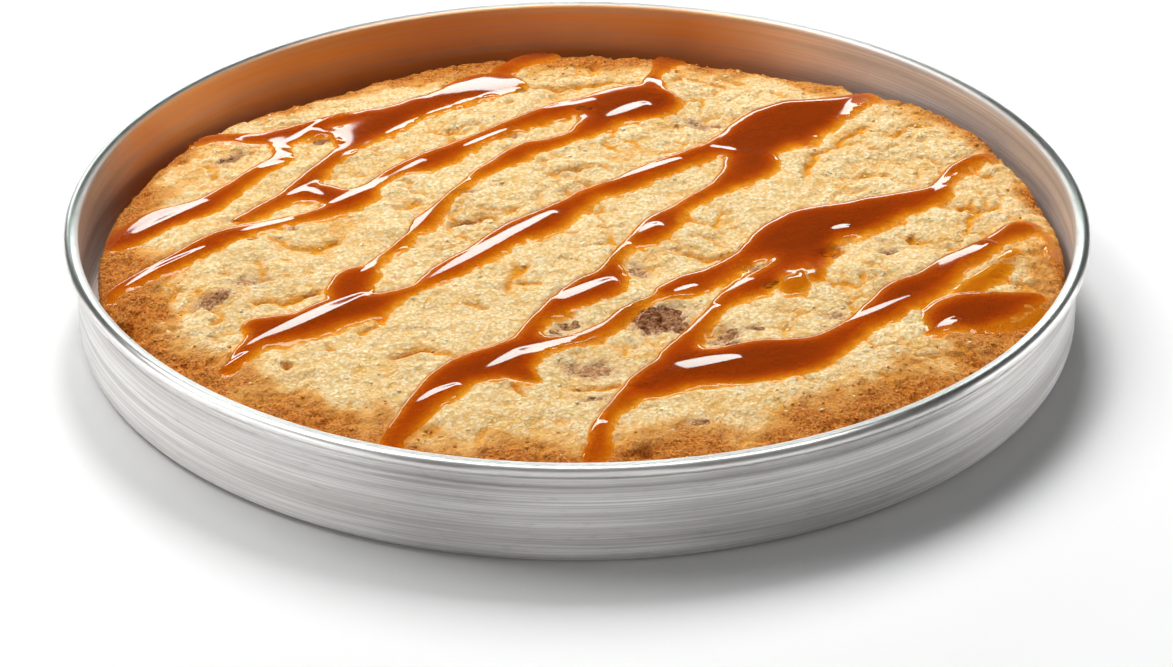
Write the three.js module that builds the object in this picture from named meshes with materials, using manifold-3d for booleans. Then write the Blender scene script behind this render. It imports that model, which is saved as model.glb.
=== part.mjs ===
// A round skillet cookie with salted caramel drizzled over it, in the aluminium pan it was baked in.
// Units are millimetres, +Z is up, and the origin is the middle of the pan's underside.
import * as THREE from "three";
import { mergeVertices } from "three/addons/utils/BufferGeometryUtils.js";
import Module from "manifold-3d";

const wasm = await Module();
wasm.setup();

// Pan: a ten inch straight-sided pan, one inch deep, with a rolled rim.
const RIM_RADIUS = 127;
const PAN_HEIGHT = 26.5;
const BEAD_RADIUS = 1.6;
const BODY_RADIUS = 124.4;
const SHEET = 1.2;
const FOOT_CURVE = 3.2;
const NECK_HEIGHT = 3.2;
const NECK_INSET = 0.55;
const PAN_SEGMENTS = 72;

// Cookie: a thick disc that has sunk at its shoulder and lies a little off the pan's middle.
const FIT_GAP = 0.3;
const COOKIE_RADIUS = 120.4;
const COOKIE_MIDDLE = new THREE.Vector2(1.2, -1.8);
const COOKIE_FLOOR = SHEET + FIT_GAP;
const PLATEAU_HEIGHT = 19;
const EDGE_HEIGHT = 14.5;
const SHOULDER_POWER = 5;
const COOKIE_RINGS = 27;
const OUTLINE_WANDER = 0.5;

// Crags of the crust: how high and how far apart.
const BROAD_CRAG = 0.5;
const BROAD_SPACING = 19;
const SMALL_CRAG = 0.35;
const SMALL_SPACING = 8;

// Caramel: how high a strand crowns for its width, and how it is set into the crumb.
const CROWN_SHARE = 0.24;
const CROWN_MOST = 2.1;
const SINK = 0.5;
const ROOT_DEPTH = 3;
const STRAND_STEP = 6;
const SECTION = [-1, -0.55, 0.55, 1];

// Where the shoulder stands higher or lower than the rest: direction in degrees, rise and spread.
const SHOULDER_SWELLS = [
  { direction: 35, rise: 2.7, spread: 14 },
  { direction: 66, rise: -3.4, spread: 13 },
  { direction: 95, rise: -2.6, spread: 22 },
  { direction: 128, rise: -5.2, spread: 17 },
  { direction: 270, rise: -2, spread: 60 },
];

// Lumps of dough and chunks that stand up, and hollows that sink: middle, reach and rise.
const SWELLS = [
  { x: -87, y: -34, reach: 7, rise: 1.2 },
  { x: -26, y: 11, reach: 8, rise: -1.1 },
  { x: 17, y: -46, reach: 8, rise: -1.2 },
  { x: 3, y: -70, reach: 8, rise: -1.2 },
  { x: -3, y: -48, reach: 5, rise: -1 },
  { x: 34, y: -54, reach: 6, rise: -1 },
  { x: 15, y: -20, reach: 6, rise: -0.8 },
  { x: 52, y: -27, reach: 6, rise: 1.2 },
  { x: 64, y: -10, reach: 6, rise: -1.8 },
  { x: 110, y: -14, reach: 10, rise: 1.8 },
  { x: 80, y: -5, reach: 8, rise: -0.9 },
  { x: 26, y: 88, reach: 9, rise: 1.2 },
  { x: -5, y: 99, reach: 11, rise: 1.2 },
  { x: -4, y: 84, reach: 8, rise: -1 },
  { x: -68, y: 56, reach: 6, rise: -1 },
  { x: -88, y: 47, reach: 7, rise: -0.8 },
  { x: -62, y: -3, reach: 8, rise: -0.9 },
  { x: -90, y: -62, reach: 7, rise: -0.8 },
];

// Cracks and ledges in the crust, each along a few points.
const CRACK_DEPTH = 1.3;
const CRACK_REACH = 3;
const CRACKS = [
  [[-78, -36], [-70, -34], [-62, -31]],
  [[-76, -4], [-70, -7], [-64, -9], [-60, -3]],
  [[-42, -63], [-35, -60], [-28, -62]],
  [[-52, -51], [-48, -48], [-46, -42]],
  [[59, 33], [62, 45], [70, 54], [77, 62]],
  [[83, 57], [88, 61], [94, 64]],
  [[100, 20], [101, 12], [98, 3]],
  [[26, -12], [31, -14], [38, -12]],
  [[-13, -20], [-17, -25], [-17, -30]],
  [[0, -77], [9, -76], [17, -77]],
  [[73, -70], [76, -77], [80, -81]],
  [[91, -55], [94, -60], [98, -66]],
  [[-107, -37], [-106, -48]],
  [[-31, 7], [-22, 8]],
  [[5, 108], [5, 96]],
  [[30, 92], [38, 90]],
  [[-12, 88], [0, 88], [16, 89]],
];

// Caramel strands, from the top left of the photograph to the lower right. Each point is x, y and width.
const STRANDS = {
  backDrip: [[-7, 117, 7], [-10, 114, 10], [-14, 109, 10], [-18, 103, 8], [-21, 97, 11]],
  topLeft: [
    [-17, 90, 17], [-26, 87, 18], [-34, 80, 13], [-43, 73, 13], [-51, 65, 16], [-57, 58, 14],
    [-59, 50, 10],
  ],
  farLeftArm: [
    [-52, 71, 7], [-66, 66, 8], [-76, 60, 9], [-84, 57, 8], [-92, 59, 7], [-98, 60, 8],
    [-102, 57, 6],
  ],
  leftArc: [[-77, 53, 6], [-73, 58, 6], [-67, 61, 6], [-61, 58, 6]],
  leftDrop: [[-78, 58, 7], [-77, 48, 6], [-77, 41, 8]],
  firstLeft: [
    [-77, 42, 8], [-83, 34, 7], [-88, 26, 8], [-93, 18, 10], [-98, 14, 12], [-104, 11, 14],
    [-110, 5, 14], [-117, -2, 9],
  ],
  secondLeft: [
    [-59, 49, 9], [-63, 42, 7], [-67, 34, 7], [-71, 24, 8], [-76, 17, 7], [-82, 10, 6],
    [-86, 6, 4],
  ],
  crossLink: [[-72, 21, 8], [-66, 22, 11], [-59, 18, 10]],
  longLeft: [
    [9, 78, 8], [0, 75, 6], [-5, 70, 10], [-15, 62, 8], [-24, 54, 7], [-31, 47, 9], [-38, 40, 11],
    [-46, 34, 7], [-52, 26, 6], [-56, 18, 11], [-62, 12, 8], [-70, 7, 6], [-78, 3, 7],
    [-86, -1, 9], [-92, -7, 10], [-99, -14, 9], [-106, -21, 8], [-112, -26, 6], [-114, -32, 4],
  ],
  backRightDrip: [[28, 114, 7], [25, 111, 9], [23, 102, 6], [21, 93, 5], [20, 84, 9]],
  topBlob: [[24, 77, 12], [20, 76, 20], [14, 74, 23], [9, 71, 19], [5, 64, 10], [1, 57, 7]],
  middleLeft: [
    [8, 66, 12], [2, 57, 8], [-5, 51, 7], [-13, 46, 9], [-19, 39, 8], [-25, 32, 6], [-30, 24, 4],
    [-35, 13, 5], [-38, 5, 8], [-41, -1, 4], [-44, -8, 5], [-48, -14, 4], [-51, -20, 6],
    [-54, -25, 12], [-56, -35, 12],
  ],
  bigBlob: [
    [80, 84, 5], [76, 80, 8], [71, 75, 12], [65, 70, 17], [58, 65, 23], [52, 60, 22],
    [46, 51, 20], [43, 43, 15],
  ],
  blobTip: [[56, 60, 18], [59, 53, 9], [61, 50, 4]],
  middle: [
    [44, 52, 16], [36, 47, 9], [30, 42, 9], [21, 34, 10], [12, 26, 9], [4, 21, 8], [-2, 13, 10],
    [-8, 5, 13], [-16, -2, 12], [-24, -13, 10], [-31, -21, 10], [-38, -30, 6], [-45, -35, 8],
    [-51, -39, 14], [-58, -42, 15], [-65, -48, 14], [-71, -51, 13], [-76, -56, 8], [-79, -62, 7],
    [-82, -69, 6],
  ],
  middleLobe: [[-66, -46, 9], [-74, -47, 9], [-79, -48, 7]],
  middleRight: [
    [47, 44, 17], [43, 33, 13], [37, 25, 8], [30, 17, 7], [25, 11, 7], [21, 3, 11], [17, -4, 9],
    [12, -9, 5], [9, -17, 5], [8, -24, 10], [5, -30, 14], [-1, -36, 11], [-6, -42, 8],
    [-10, -49, 6], [-12, -57, 9],
  ],
  lowLink: [
    [20, -35, 5], [16, -37, 4], [12, -42, 6], [8, -49, 7], [2, -54, 7], [-5, -57, 8],
    [-13, -60, 12],
  ],
  lowStrand: [
    [-12, -57, 10], [-16, -65, 16], [-22, -68, 15], [-28, -73, 13], [-33, -81, 11], [-37, -89, 9],
    [-40, -96, 8], [-42, -104, 7],
  ],
  lowLobe: [[-19, -67, 13], [-13, -71, 9], [-9, -75, 4]],
  rightArm: [
    [109, 47, 5], [103, 43, 6], [98, 37, 6], [94, 29, 6], [91, 22, 9], [84, 17, 12], [76, 12, 15],
    [68, 7, 18], [60, 3, 20], [53, -4, 20], [47, -9, 13], [41, -15, 8], [34, -23, 9],
    [27, -29, 11], [20, -34, 7],
  ],
  armDrop: [[58, -6, 13], [59, -17, 7], [58, -27, 4]],
  innerRight: [
    [55, -11, 12], [50, -20, 9], [44, -28, 11], [38, -34, 8], [33, -42, 6], [29, -50, 6],
    [26, -57, 8], [23, -66, 12],
  ],
  lowerArm: [
    [116, 8, 7], [111, 5, 9], [106, -1, 7], [100, -9, 9], [93, -16, 10], [87, -24, 11],
    [80, -31, 13], [73, -41, 11], [67, -48, 9], [60, -57, 12], [53, -62, 17], [44, -65, 20],
    [35, -68, 19], [27, -69, 18], [20, -74, 15], [14, -79, 9], [9, -87, 6], [6, -94, 6],
    [5, -103, 7], [4, -110, 6],
  ],
  rightPool: [
    [114, -29, 5], [108, -32, 9], [101, -36, 15], [95, -39, 18], [90, -42, 15], [87, -47, 8],
    [84, -52, 4],
  ],
};

// Repeatable value noise, from -1 to 1, with one lump for each unit of x and y.
function hash(i, j, seed) {
  const s = Math.sin(i * 127.1 + j * 311.7 + seed * 74.7) * 43758.5453;
  return 2 * (s - Math.floor(s)) - 1;
}

function noise(x, y, seed) {
  const i = Math.floor(x);
  const j = Math.floor(y);
  const u = THREE.MathUtils.smoothstep(x - i, 0, 1);
  const v = THREE.MathUtils.smoothstep(y - j, 0, 1);
  const low = THREE.MathUtils.lerp(hash(i, j, seed), hash(i + 1, j, seed), u);
  const high = THREE.MathUtils.lerp(hash(i, j + 1, seed), hash(i + 1, j + 1, seed), u);
  return THREE.MathUtils.lerp(low, high, v);
}

// Distance from a point to a path of straight pieces.
function distanceToPath(x, y, path) {
  let least = Infinity;
  for (let i = 1; i < path.length; i += 1) {
    const [ax, ay] = path[i - 1];
    const [bx, by] = path[i];
    const along = ((x - ax) * (bx - ax) + (y - ay) * (by - ay)) / ((bx - ax) ** 2 + (by - ay) ** 2);
    const t = THREE.MathUtils.clamp(along, 0, 1);
    least = Math.min(least, Math.hypot(x - ax - t * (bx - ax), y - ay - t * (by - ay)));
  }
  return least;
}

const bell = (distance, reach) => Math.exp(-((distance / reach) ** 2));

// Radius of the cookie's outline in a direction.
function outlineRadius(angle) {
  return COOKIE_RADIUS + OUTLINE_WANDER * (noise(4 * Math.cos(angle) + 9, 4 * Math.sin(angle) + 9, 3) - 1);
}

// Height of the cookie's shoulder where it meets the side.
function edgeHeight(angle) {
  return SHOULDER_SWELLS.reduce((height, swell) => {
    const away = THREE.MathUtils.radToDeg(angle) - swell.direction;
    const turn = Math.abs(THREE.MathUtils.euclideanModulo(away + 180, 360) - 180);
    return height + swell.rise * bell(turn, swell.spread);
  }, EDGE_HEIGHT);
}

// Height of the smooth loaf under the crust's crags.
function loafHeight(x, y) {
  const dx = x - COOKIE_MIDDLE.x;
  const dy = y - COOKIE_MIDDLE.y;
  const angle = Math.atan2(dy, dx);
  const share = Math.min(Math.hypot(dx, dy) / outlineRadius(angle), 1);
  const edge = edgeHeight(angle);
  const shoulder = Math.sqrt(1 - share ** SHOULDER_POWER);
  const dome = 0.5 * (1 - share * share);
  return edge + (PLATEAU_HEIGHT - edge) * shoulder + dome;
}

// Height with the broad lumps and hollows, which the caramel follows as it runs over them.
function bedHeight(x, y) {
  const lumps = SWELLS.reduce((sum, s) => sum + s.rise * bell(Math.hypot(x - s.x, y - s.y), s.reach), 0);
  return loafHeight(x, y) + lumps + BROAD_CRAG * noise(x / BROAD_SPACING, y / BROAD_SPACING, 11);
}

// Height of the baked surface, with its small crags and its cracks.
function crustHeight(x, y) {
  const cracks = CRACKS.reduce((sum, path) => sum + bell(distanceToPath(x, y, path), CRACK_REACH), 0);
  const crags = SMALL_CRAG * noise(x / SMALL_SPACING, y / SMALL_SPACING, 23);
  return bedHeight(x, y) + crags - CRACK_DEPTH * Math.min(cracks, 1);
}

function geometryOf(points, faces) {
  const made = new THREE.BufferGeometry();
  made.setAttribute("position", new THREE.Float32BufferAttribute(points.flat(), 3));
  made.setIndex(faces.flat());
  return made;
}

// A closed geometry as a solid that can be joined and cut.
function solidOf(geometry) {
  const bare = geometry.clone();
  bare.deleteAttribute("normal");
  bare.deleteAttribute("uv");
  const merged = mergeVertices(bare, 1e-4);
  return new wasm.Manifold(
    new wasm.Mesh({
      numProp: 3,
      vertProperties: new Float32Array(merged.attributes.position.array),
      triVerts: new Uint32Array(merged.index.array),
    }),
  );
}

function geometryFrom(solid) {
  const mesh = solid.getMesh();
  const made = new THREE.BufferGeometry();
  made.setAttribute("position", new THREE.BufferAttribute(mesh.vertProperties.slice(), 3));
  made.setIndex(new THREE.BufferAttribute(mesh.triVerts.slice(), 1));
  made.computeVertexNormals();
  return made;
}

// The faces between two closed rings with the same number of points.
function bandFaces(lower, upper, count) {
  const faces = [];
  for (let i = 0; i < count; i += 1) {
    const next = (i + 1) % count;
    faces.push([lower + i, lower + next, upper + i], [lower + next, upper + next, upper + i]);
  }
  return faces;
}

// The cookie: rings of 6, 12, 18 and more points over the top, then the baked side and the base.
function cookieGeometry() {
  const points = [[COOKIE_MIDDLE.x, COOKIE_MIDDLE.y, crustHeight(COOKIE_MIDDLE.x, COOKIE_MIDDLE.y)]];
  const faces = [];
  const firstOf = (ring) => (ring === 0 ? 0 : 1 + 3 * ring * (ring - 1));
  const place = (angle, share, height) => {
    const x = COOKIE_MIDDLE.x + share * outlineRadius(angle) * Math.cos(angle);
    const y = COOKIE_MIDDLE.y + share * outlineRadius(angle) * Math.sin(angle);
    points.push([x, y, height(x, y)]);
  };
  for (let ring = 1; ring <= COOKIE_RINGS; ring += 1) {
    const count = 6 * ring;
    for (let i = 0; i < count; i += 1) place((2 * Math.PI * i) / count, ring / COOKIE_RINGS, crustHeight);
    for (let sector = 0; sector < 6; sector += 1) {
      const outer = (j) => firstOf(ring) + ((sector * ring + j) % count);
      const inner = (j) => (ring === 1 ? 0 : firstOf(ring - 1) + ((sector * (ring - 1) + j) % (count - 6)));
      for (let j = 0; j < ring; j += 1) {
        faces.push([outer(j), outer(j + 1), inner(j)]);
        if (j < ring - 1) faces.push([inner(j), outer(j + 1), inner(j + 1)]);
      }
    }
  }
  const count = 6 * COOKIE_RINGS;
  const side = [
    { share: 1.001, drop: 0.45 },
    { share: 0.995, drop: 0.8 },
    { share: 0.97, drop: 1 },
  ];
  let upper = firstOf(COOKIE_RINGS);
  for (const { share, drop } of side) {
    const lower = points.length;
    for (let i = 0; i < count; i += 1) {
      const angle = (2 * Math.PI * i) / count;
      place(angle, share, () => THREE.MathUtils.lerp(edgeHeight(angle), COOKIE_FLOOR, drop));
    }
    faces.push(...bandFaces(lower, upper, count));
    upper = lower;
  }
  const middle = points.length;
  points.push([COOKIE_MIDDLE.x, COOKIE_MIDDLE.y, COOKIE_FLOOR]);
  for (let i = 0; i < count; i += 1) faces.push([upper + ((i + 1) % count), upper + i, middle]);
  return geometryOf(points, faces);
}

// One strand of caramel that follows the crust, crowned across and rounded off at both ends.
function strandGeometry(path) {
  const knots = path.map(([x, y, width]) => new THREE.Vector3(x, y, width));
  const curve = new THREE.CatmullRomCurve3(knots, false, "centripetal");
  const steps = Math.max(3, Math.ceil(curve.getLength() / STRAND_STEP));
  const points = [];
  const faces = [];
  const sides = SECTION.length + 2;
  for (let i = 0; i <= steps; i += 1) {
    const t = THREE.MathUtils.lerp(0.001, 0.999, i / steps);
    const at = curve.getPoint(t);
    const way = curve.getTangent(t);
    const across = new THREE.Vector2(-way.y, way.x).normalize();
    const end = i === 0 || i === steps ? 0.45 : 1;
    const half = 0.5 * at.z * end;
    const crown = Math.min(CROWN_SHARE * at.z, CROWN_MOST) * end;
    const ring = SECTION.map((u) => {
      const x = at.x + across.x * half * u;
      const y = at.y + across.y * half * u;
      return [x, y, bedHeight(x, y) + crown * Math.sqrt(1 - u * u) - (Math.abs(u) === 1 ? SINK : 0)];
    });
    const [first, last] = [ring[0], ring[ring.length - 1]];
    ring.push([last[0], last[1], last[2] - ROOT_DEPTH], [first[0], first[1], first[2] - ROOT_DEPTH]);
    points.push(...ring);
  }
  for (let i = 0; i < steps; i += 1) faces.push(...bandFaces((i + 1) * sides, i * sides, sides));
  for (let k = 1; k < sides - 1; k += 1) {
    faces.push([0, k, k + 1]);
    faces.push([steps * sides, steps * sides + k + 1, steps * sides + k]);
  }
  return geometryOf(points, faces);
}

// The pan as one turned piece of sheet: foot, straight wall, neck and the bead rolled outwards.
function panGeometry() {
  const inner = BODY_RADIUS - SHEET;
  const innerCurve = FOOT_CURVE - SHEET;
  const arc = (x, z, radius, from, to, steps) =>
    Array.from({ length: steps + 1 }, (_, i) => {
      const angle = THREE.MathUtils.degToRad(THREE.MathUtils.lerp(from, to, i / steps));
      return new THREE.Vector2(x + radius * Math.cos(angle), z + radius * Math.sin(angle));
    });
  const beadX = RIM_RADIUS - BEAD_RADIUS;
  const beadZ = PAN_HEIGHT - BEAD_RADIUS;
  const neckZ = PAN_HEIGHT - 2 * BEAD_RADIUS - NECK_HEIGHT;
  const profile = [
    new THREE.Vector2(0, 0),
    ...arc(BODY_RADIUS - FOOT_CURVE, FOOT_CURVE, FOOT_CURVE, -90, 0, 3),
    new THREE.Vector2(BODY_RADIUS, neckZ),
    new THREE.Vector2(BODY_RADIUS - NECK_INSET, neckZ + 0.5),
    ...arc(beadX, beadZ, BEAD_RADIUS, -120, 120, 8),
    new THREE.Vector2(inner, PAN_HEIGHT - 0.8),
    ...arc(inner - innerCurve, FOOT_CURVE, innerCurve, 0, -90, 2),
    new THREE.Vector2(0, SHEET),
  ];
  const made = new THREE.LatheGeometry(profile, PAN_SEGMENTS);
  made.rotateX(Math.PI / 2);
  return made;
}

// Cookie and caramel as one solid, kept clear of the pan's wall.
function frostedCookieGeometry() {
  let solid = solidOf(cookieGeometry());
  for (const path of Object.values(STRANDS)) solid = solid.add(solidOf(strandGeometry(path)));
  const clear = new THREE.CylinderGeometry(
    BODY_RADIUS - SHEET - FIT_GAP,
    BODY_RADIUS - SHEET - FIT_GAP,
    4 * PAN_HEIGHT,
    2 * PAN_SEGMENTS,
  );
  clear.rotateX(Math.PI / 2);
  return geometryFrom(solid.intersect(solidOf(clear)));
}

const aluminium = new THREE.MeshStandardMaterial({ color: 0xc9c6c3, roughness: 0.35, metalness: 1 });
const bakedDough = new THREE.MeshStandardMaterial({ color: 0xe3bd7c, roughness: 0.85, metalness: 0 });

const pan = new THREE.Mesh(panGeometry(), aluminium);
pan.name = "pan";

const cookie = new THREE.Mesh(frostedCookieGeometry(), bakedDough);
cookie.name = "cookie";

const skilletCookie = new THREE.Group();
skilletCookie.add(pan, cookie);

export default skilletCookie;
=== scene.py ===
import math

import bpy
import numpy as np
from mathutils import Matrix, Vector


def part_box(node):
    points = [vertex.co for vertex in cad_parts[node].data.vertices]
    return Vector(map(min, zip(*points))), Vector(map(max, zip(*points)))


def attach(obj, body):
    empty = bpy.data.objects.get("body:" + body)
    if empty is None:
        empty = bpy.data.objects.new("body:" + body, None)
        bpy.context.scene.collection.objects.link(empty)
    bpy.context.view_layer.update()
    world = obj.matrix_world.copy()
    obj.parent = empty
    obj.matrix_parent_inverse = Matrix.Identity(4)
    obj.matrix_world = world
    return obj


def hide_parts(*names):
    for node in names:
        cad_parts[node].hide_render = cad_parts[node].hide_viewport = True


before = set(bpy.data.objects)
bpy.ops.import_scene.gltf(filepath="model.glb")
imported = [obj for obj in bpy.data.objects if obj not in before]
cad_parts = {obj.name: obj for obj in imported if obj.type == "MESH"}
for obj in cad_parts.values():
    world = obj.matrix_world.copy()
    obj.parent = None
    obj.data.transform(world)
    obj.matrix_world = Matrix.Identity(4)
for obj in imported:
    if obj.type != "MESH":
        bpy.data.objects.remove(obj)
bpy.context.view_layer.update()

# Lengths are in millimetres until a mesh is made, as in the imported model's source.
MM = 0.001

# Pan: the outer sizes come from the frame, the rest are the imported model's own.
PAN_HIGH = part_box("pan")[1]
RIM_RADIUS = PAN_HIGH.x / MM
PAN_HEIGHT = PAN_HIGH.z / MM
BEAD_RADIUS = 1.6
BODY_RADIUS = 124.4
SHEET = 1.2
FOOT_CURVE = 3.2
NECK_HEIGHT = 3.2
NECK_INSET = 0.55
PAN_SEGMENTS = 240

# The inner wall's baked-on tint and painted reflection of the cookie grow and fade between these directions,
# in degrees, and the brushed lines outside fade between these heights.
TINT_STARTS = (42, 78)
TINT_ENDS = (155, 173)
BRUSHING_ENDS = (22.4, 23.2)

# Cookie: a thick disc that has sunk at its shoulder and lies a little off the pan's middle.
COOKIE_RADIUS = 120.4
COOKIE_X = 1.2
COOKIE_Y = -1.8
COOKIE_FLOOR = 1.5
PLATEAU_HEIGHT = 19.0
EDGE_HEIGHT = 14.5
SHOULDER_POWER = 5
COOKIE_RINGS = 175
OUTLINE_WANDER = 0.5
BROAD_CRAG = 0.5
BROAD_SPACING = 19.0
SMALL_CRAG = 0.35
SMALL_SPACING = 8.0

# Fine relief of the crust, which only this surface has: its plates, lumps, pebbles and grain.
PLATE_SIZE = 12.5
PLATE_RISE = 0.42
LUMP_SIZE = 8.5
LUMP_RISE = 0.45
CREASE_DEPTH = 0.55
PEBBLE_SIZE = 3.4
PEBBLE_RISE = 0.3
GRAIN_SIZE = 3.1
GRAIN_RISE = 0.24

# Rings down the baked side: each one's share of the outline's radius, and of the drop to the cookie's floor.
BAKED_SIDE = [(1.0, 0.12), (1.0, 0.3), (0.999, 0.5), (0.998, 0.7), (0.99, 0.88), (0.97, 1.0)]

# Where the shoulder stands higher or lower than the rest: direction in degrees, rise and spread.
SHOULDER_SWELLS = [(35, 2.7, 14), (66, -3.4, 13), (95, -2.6, 22), (128, -5.2, 17), (270, -2, 60)]

# Lumps of dough and chunks that stand up, and hollows that sink: x, y, reach and rise.
SWELLS = [
    (-87, -34, 7, 1.2), (-26, 11, 8, -1.1), (17, -46, 8, -1.2), (3, -70, 8, -1.2), (-3, -48, 5, -1),
    (34, -54, 6, -1), (15, -20, 6, -0.8), (52, -27, 6, 1.2), (64, -10, 6, -1.8), (110, -14, 10, 1.8),
    (80, -5, 8, -0.9), (26, 88, 9, 1.2), (-5, 99, 11, 1.2), (-4, 84, 8, -1), (-68, 56, 6, -1),
    (-88, 47, 7, -0.8), (-62, -3, 8, -0.9), (-90, -62, 7, -0.8),
]

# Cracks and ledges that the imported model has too, each along a few points.
CRACKS = [
    [(-78, -36), (-70, -34), (-62, -31)],
    [(-76, -4), (-70, -7), (-64, -9), (-60, -3)],
    [(-42, -63), (-35, -60), (-28, -62)],
    [(-52, -51), (-48, -48), (-46, -42)],
    [(59, 33), (62, 45), (70, 54), (77, 62)],
    [(83, 57), (88, 61), (94, 64)],
    [(100, 20), (101, 12), (98, 3)],
    [(26, -12), (31, -14), (38, -12)],
    [(-13, -20), (-17, -25), (-17, -30)],
    [(0, -77), (9, -76), (17, -77)],
    [(73, -70), (76, -77), (80, -81)],
    [(91, -55), (94, -60), (98, -66)],
    [(-107, -37), (-106, -48)],
    [(-31, 7), (-22, 8)],
    [(5, 108), (5, 96)],
    [(30, 92), (38, 90)],
    [(-12, 88), (0, 88), (16, 89)],
]

# Finer crevices, which only this surface has.
CREVICES = [
    [(-87, -37), (-85, -41), (-87, -46)],
    [(-93, -62), (-89, -65), (-84, -60)],
    [(-24, 14), (-19, 12), (-15, 13)],
    [(-9, -29), (-14, -27)],
    [(-26, -36), (-22, -39)],
    [(-14, -76), (-11, -80)],
    [(28, 97), (26, 90)],
    [(38, 96), (44, 93)],
    [(53, 86), (54, 80)],
    [(90, 44), (94, 42)],
    [(98, 18), (101, 15)],
    [(81, 0), (85, -2), (89, -3)],
    [(117, -3), (116, -8), (113, -11)],
    [(102, -22), (107, -24), (112, -26)],
    [(-22, -99), (-20, -95)],
    [(-34, -97), (-31, -93)],
    [(-9, -108), (-8, -102)],
    [(12, -106), (15, -103), (18, -102)],
    [(-65, -11), (-63, -6)],
    [(56, -95), (60, -90), (66, -89)],
    [(38, -101), (43, -97)],
    [(-58, -90), (-55, -84)],
    [(-70, -78), (-64, -76)],
    [(-100, -22), (-97, -27), (-99, -32)],
    [(28, 22), (33, 20)],
    [(-6, 32), (0, 35), (7, 36)],
    [(-44, 14), (-40, 17)],
    [(68, 30), (75, 33), (80, 32)],
    [(-97, 42), (-93, 37), (-95, 33)],
    [(-36, 88), (-33, 93)],
    [(58, 96), (66, 90), (74, 91)],
]

# Small holes where a bubble broke: x, y, radius and depth.
HOLES = [
    (71, -24, 1.4, 1.2), (76, -52, 1.2, 1.0), (-68, -66, 1.6, 2.0), (-58, -57, 1.3, 1.2),
    (-28, 6.5, 2.2, 1.4), (-22, 7, 1.5, 1.2), (63.5, -9, 3.0, 2.4), (-19, 76, 1.6, 1.3),
    (98, 16, 1.8, 1.4), (84, -1, 2.0, 1.2), (-63, -32, 1.8, 1.3), (-40, -62, 1.4, 1.2),
    (15, -104, 2.6, 1.6), (-108, -44, 2.6, 1.8), (-72, -80, 1.2, 1.0),
]

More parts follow.
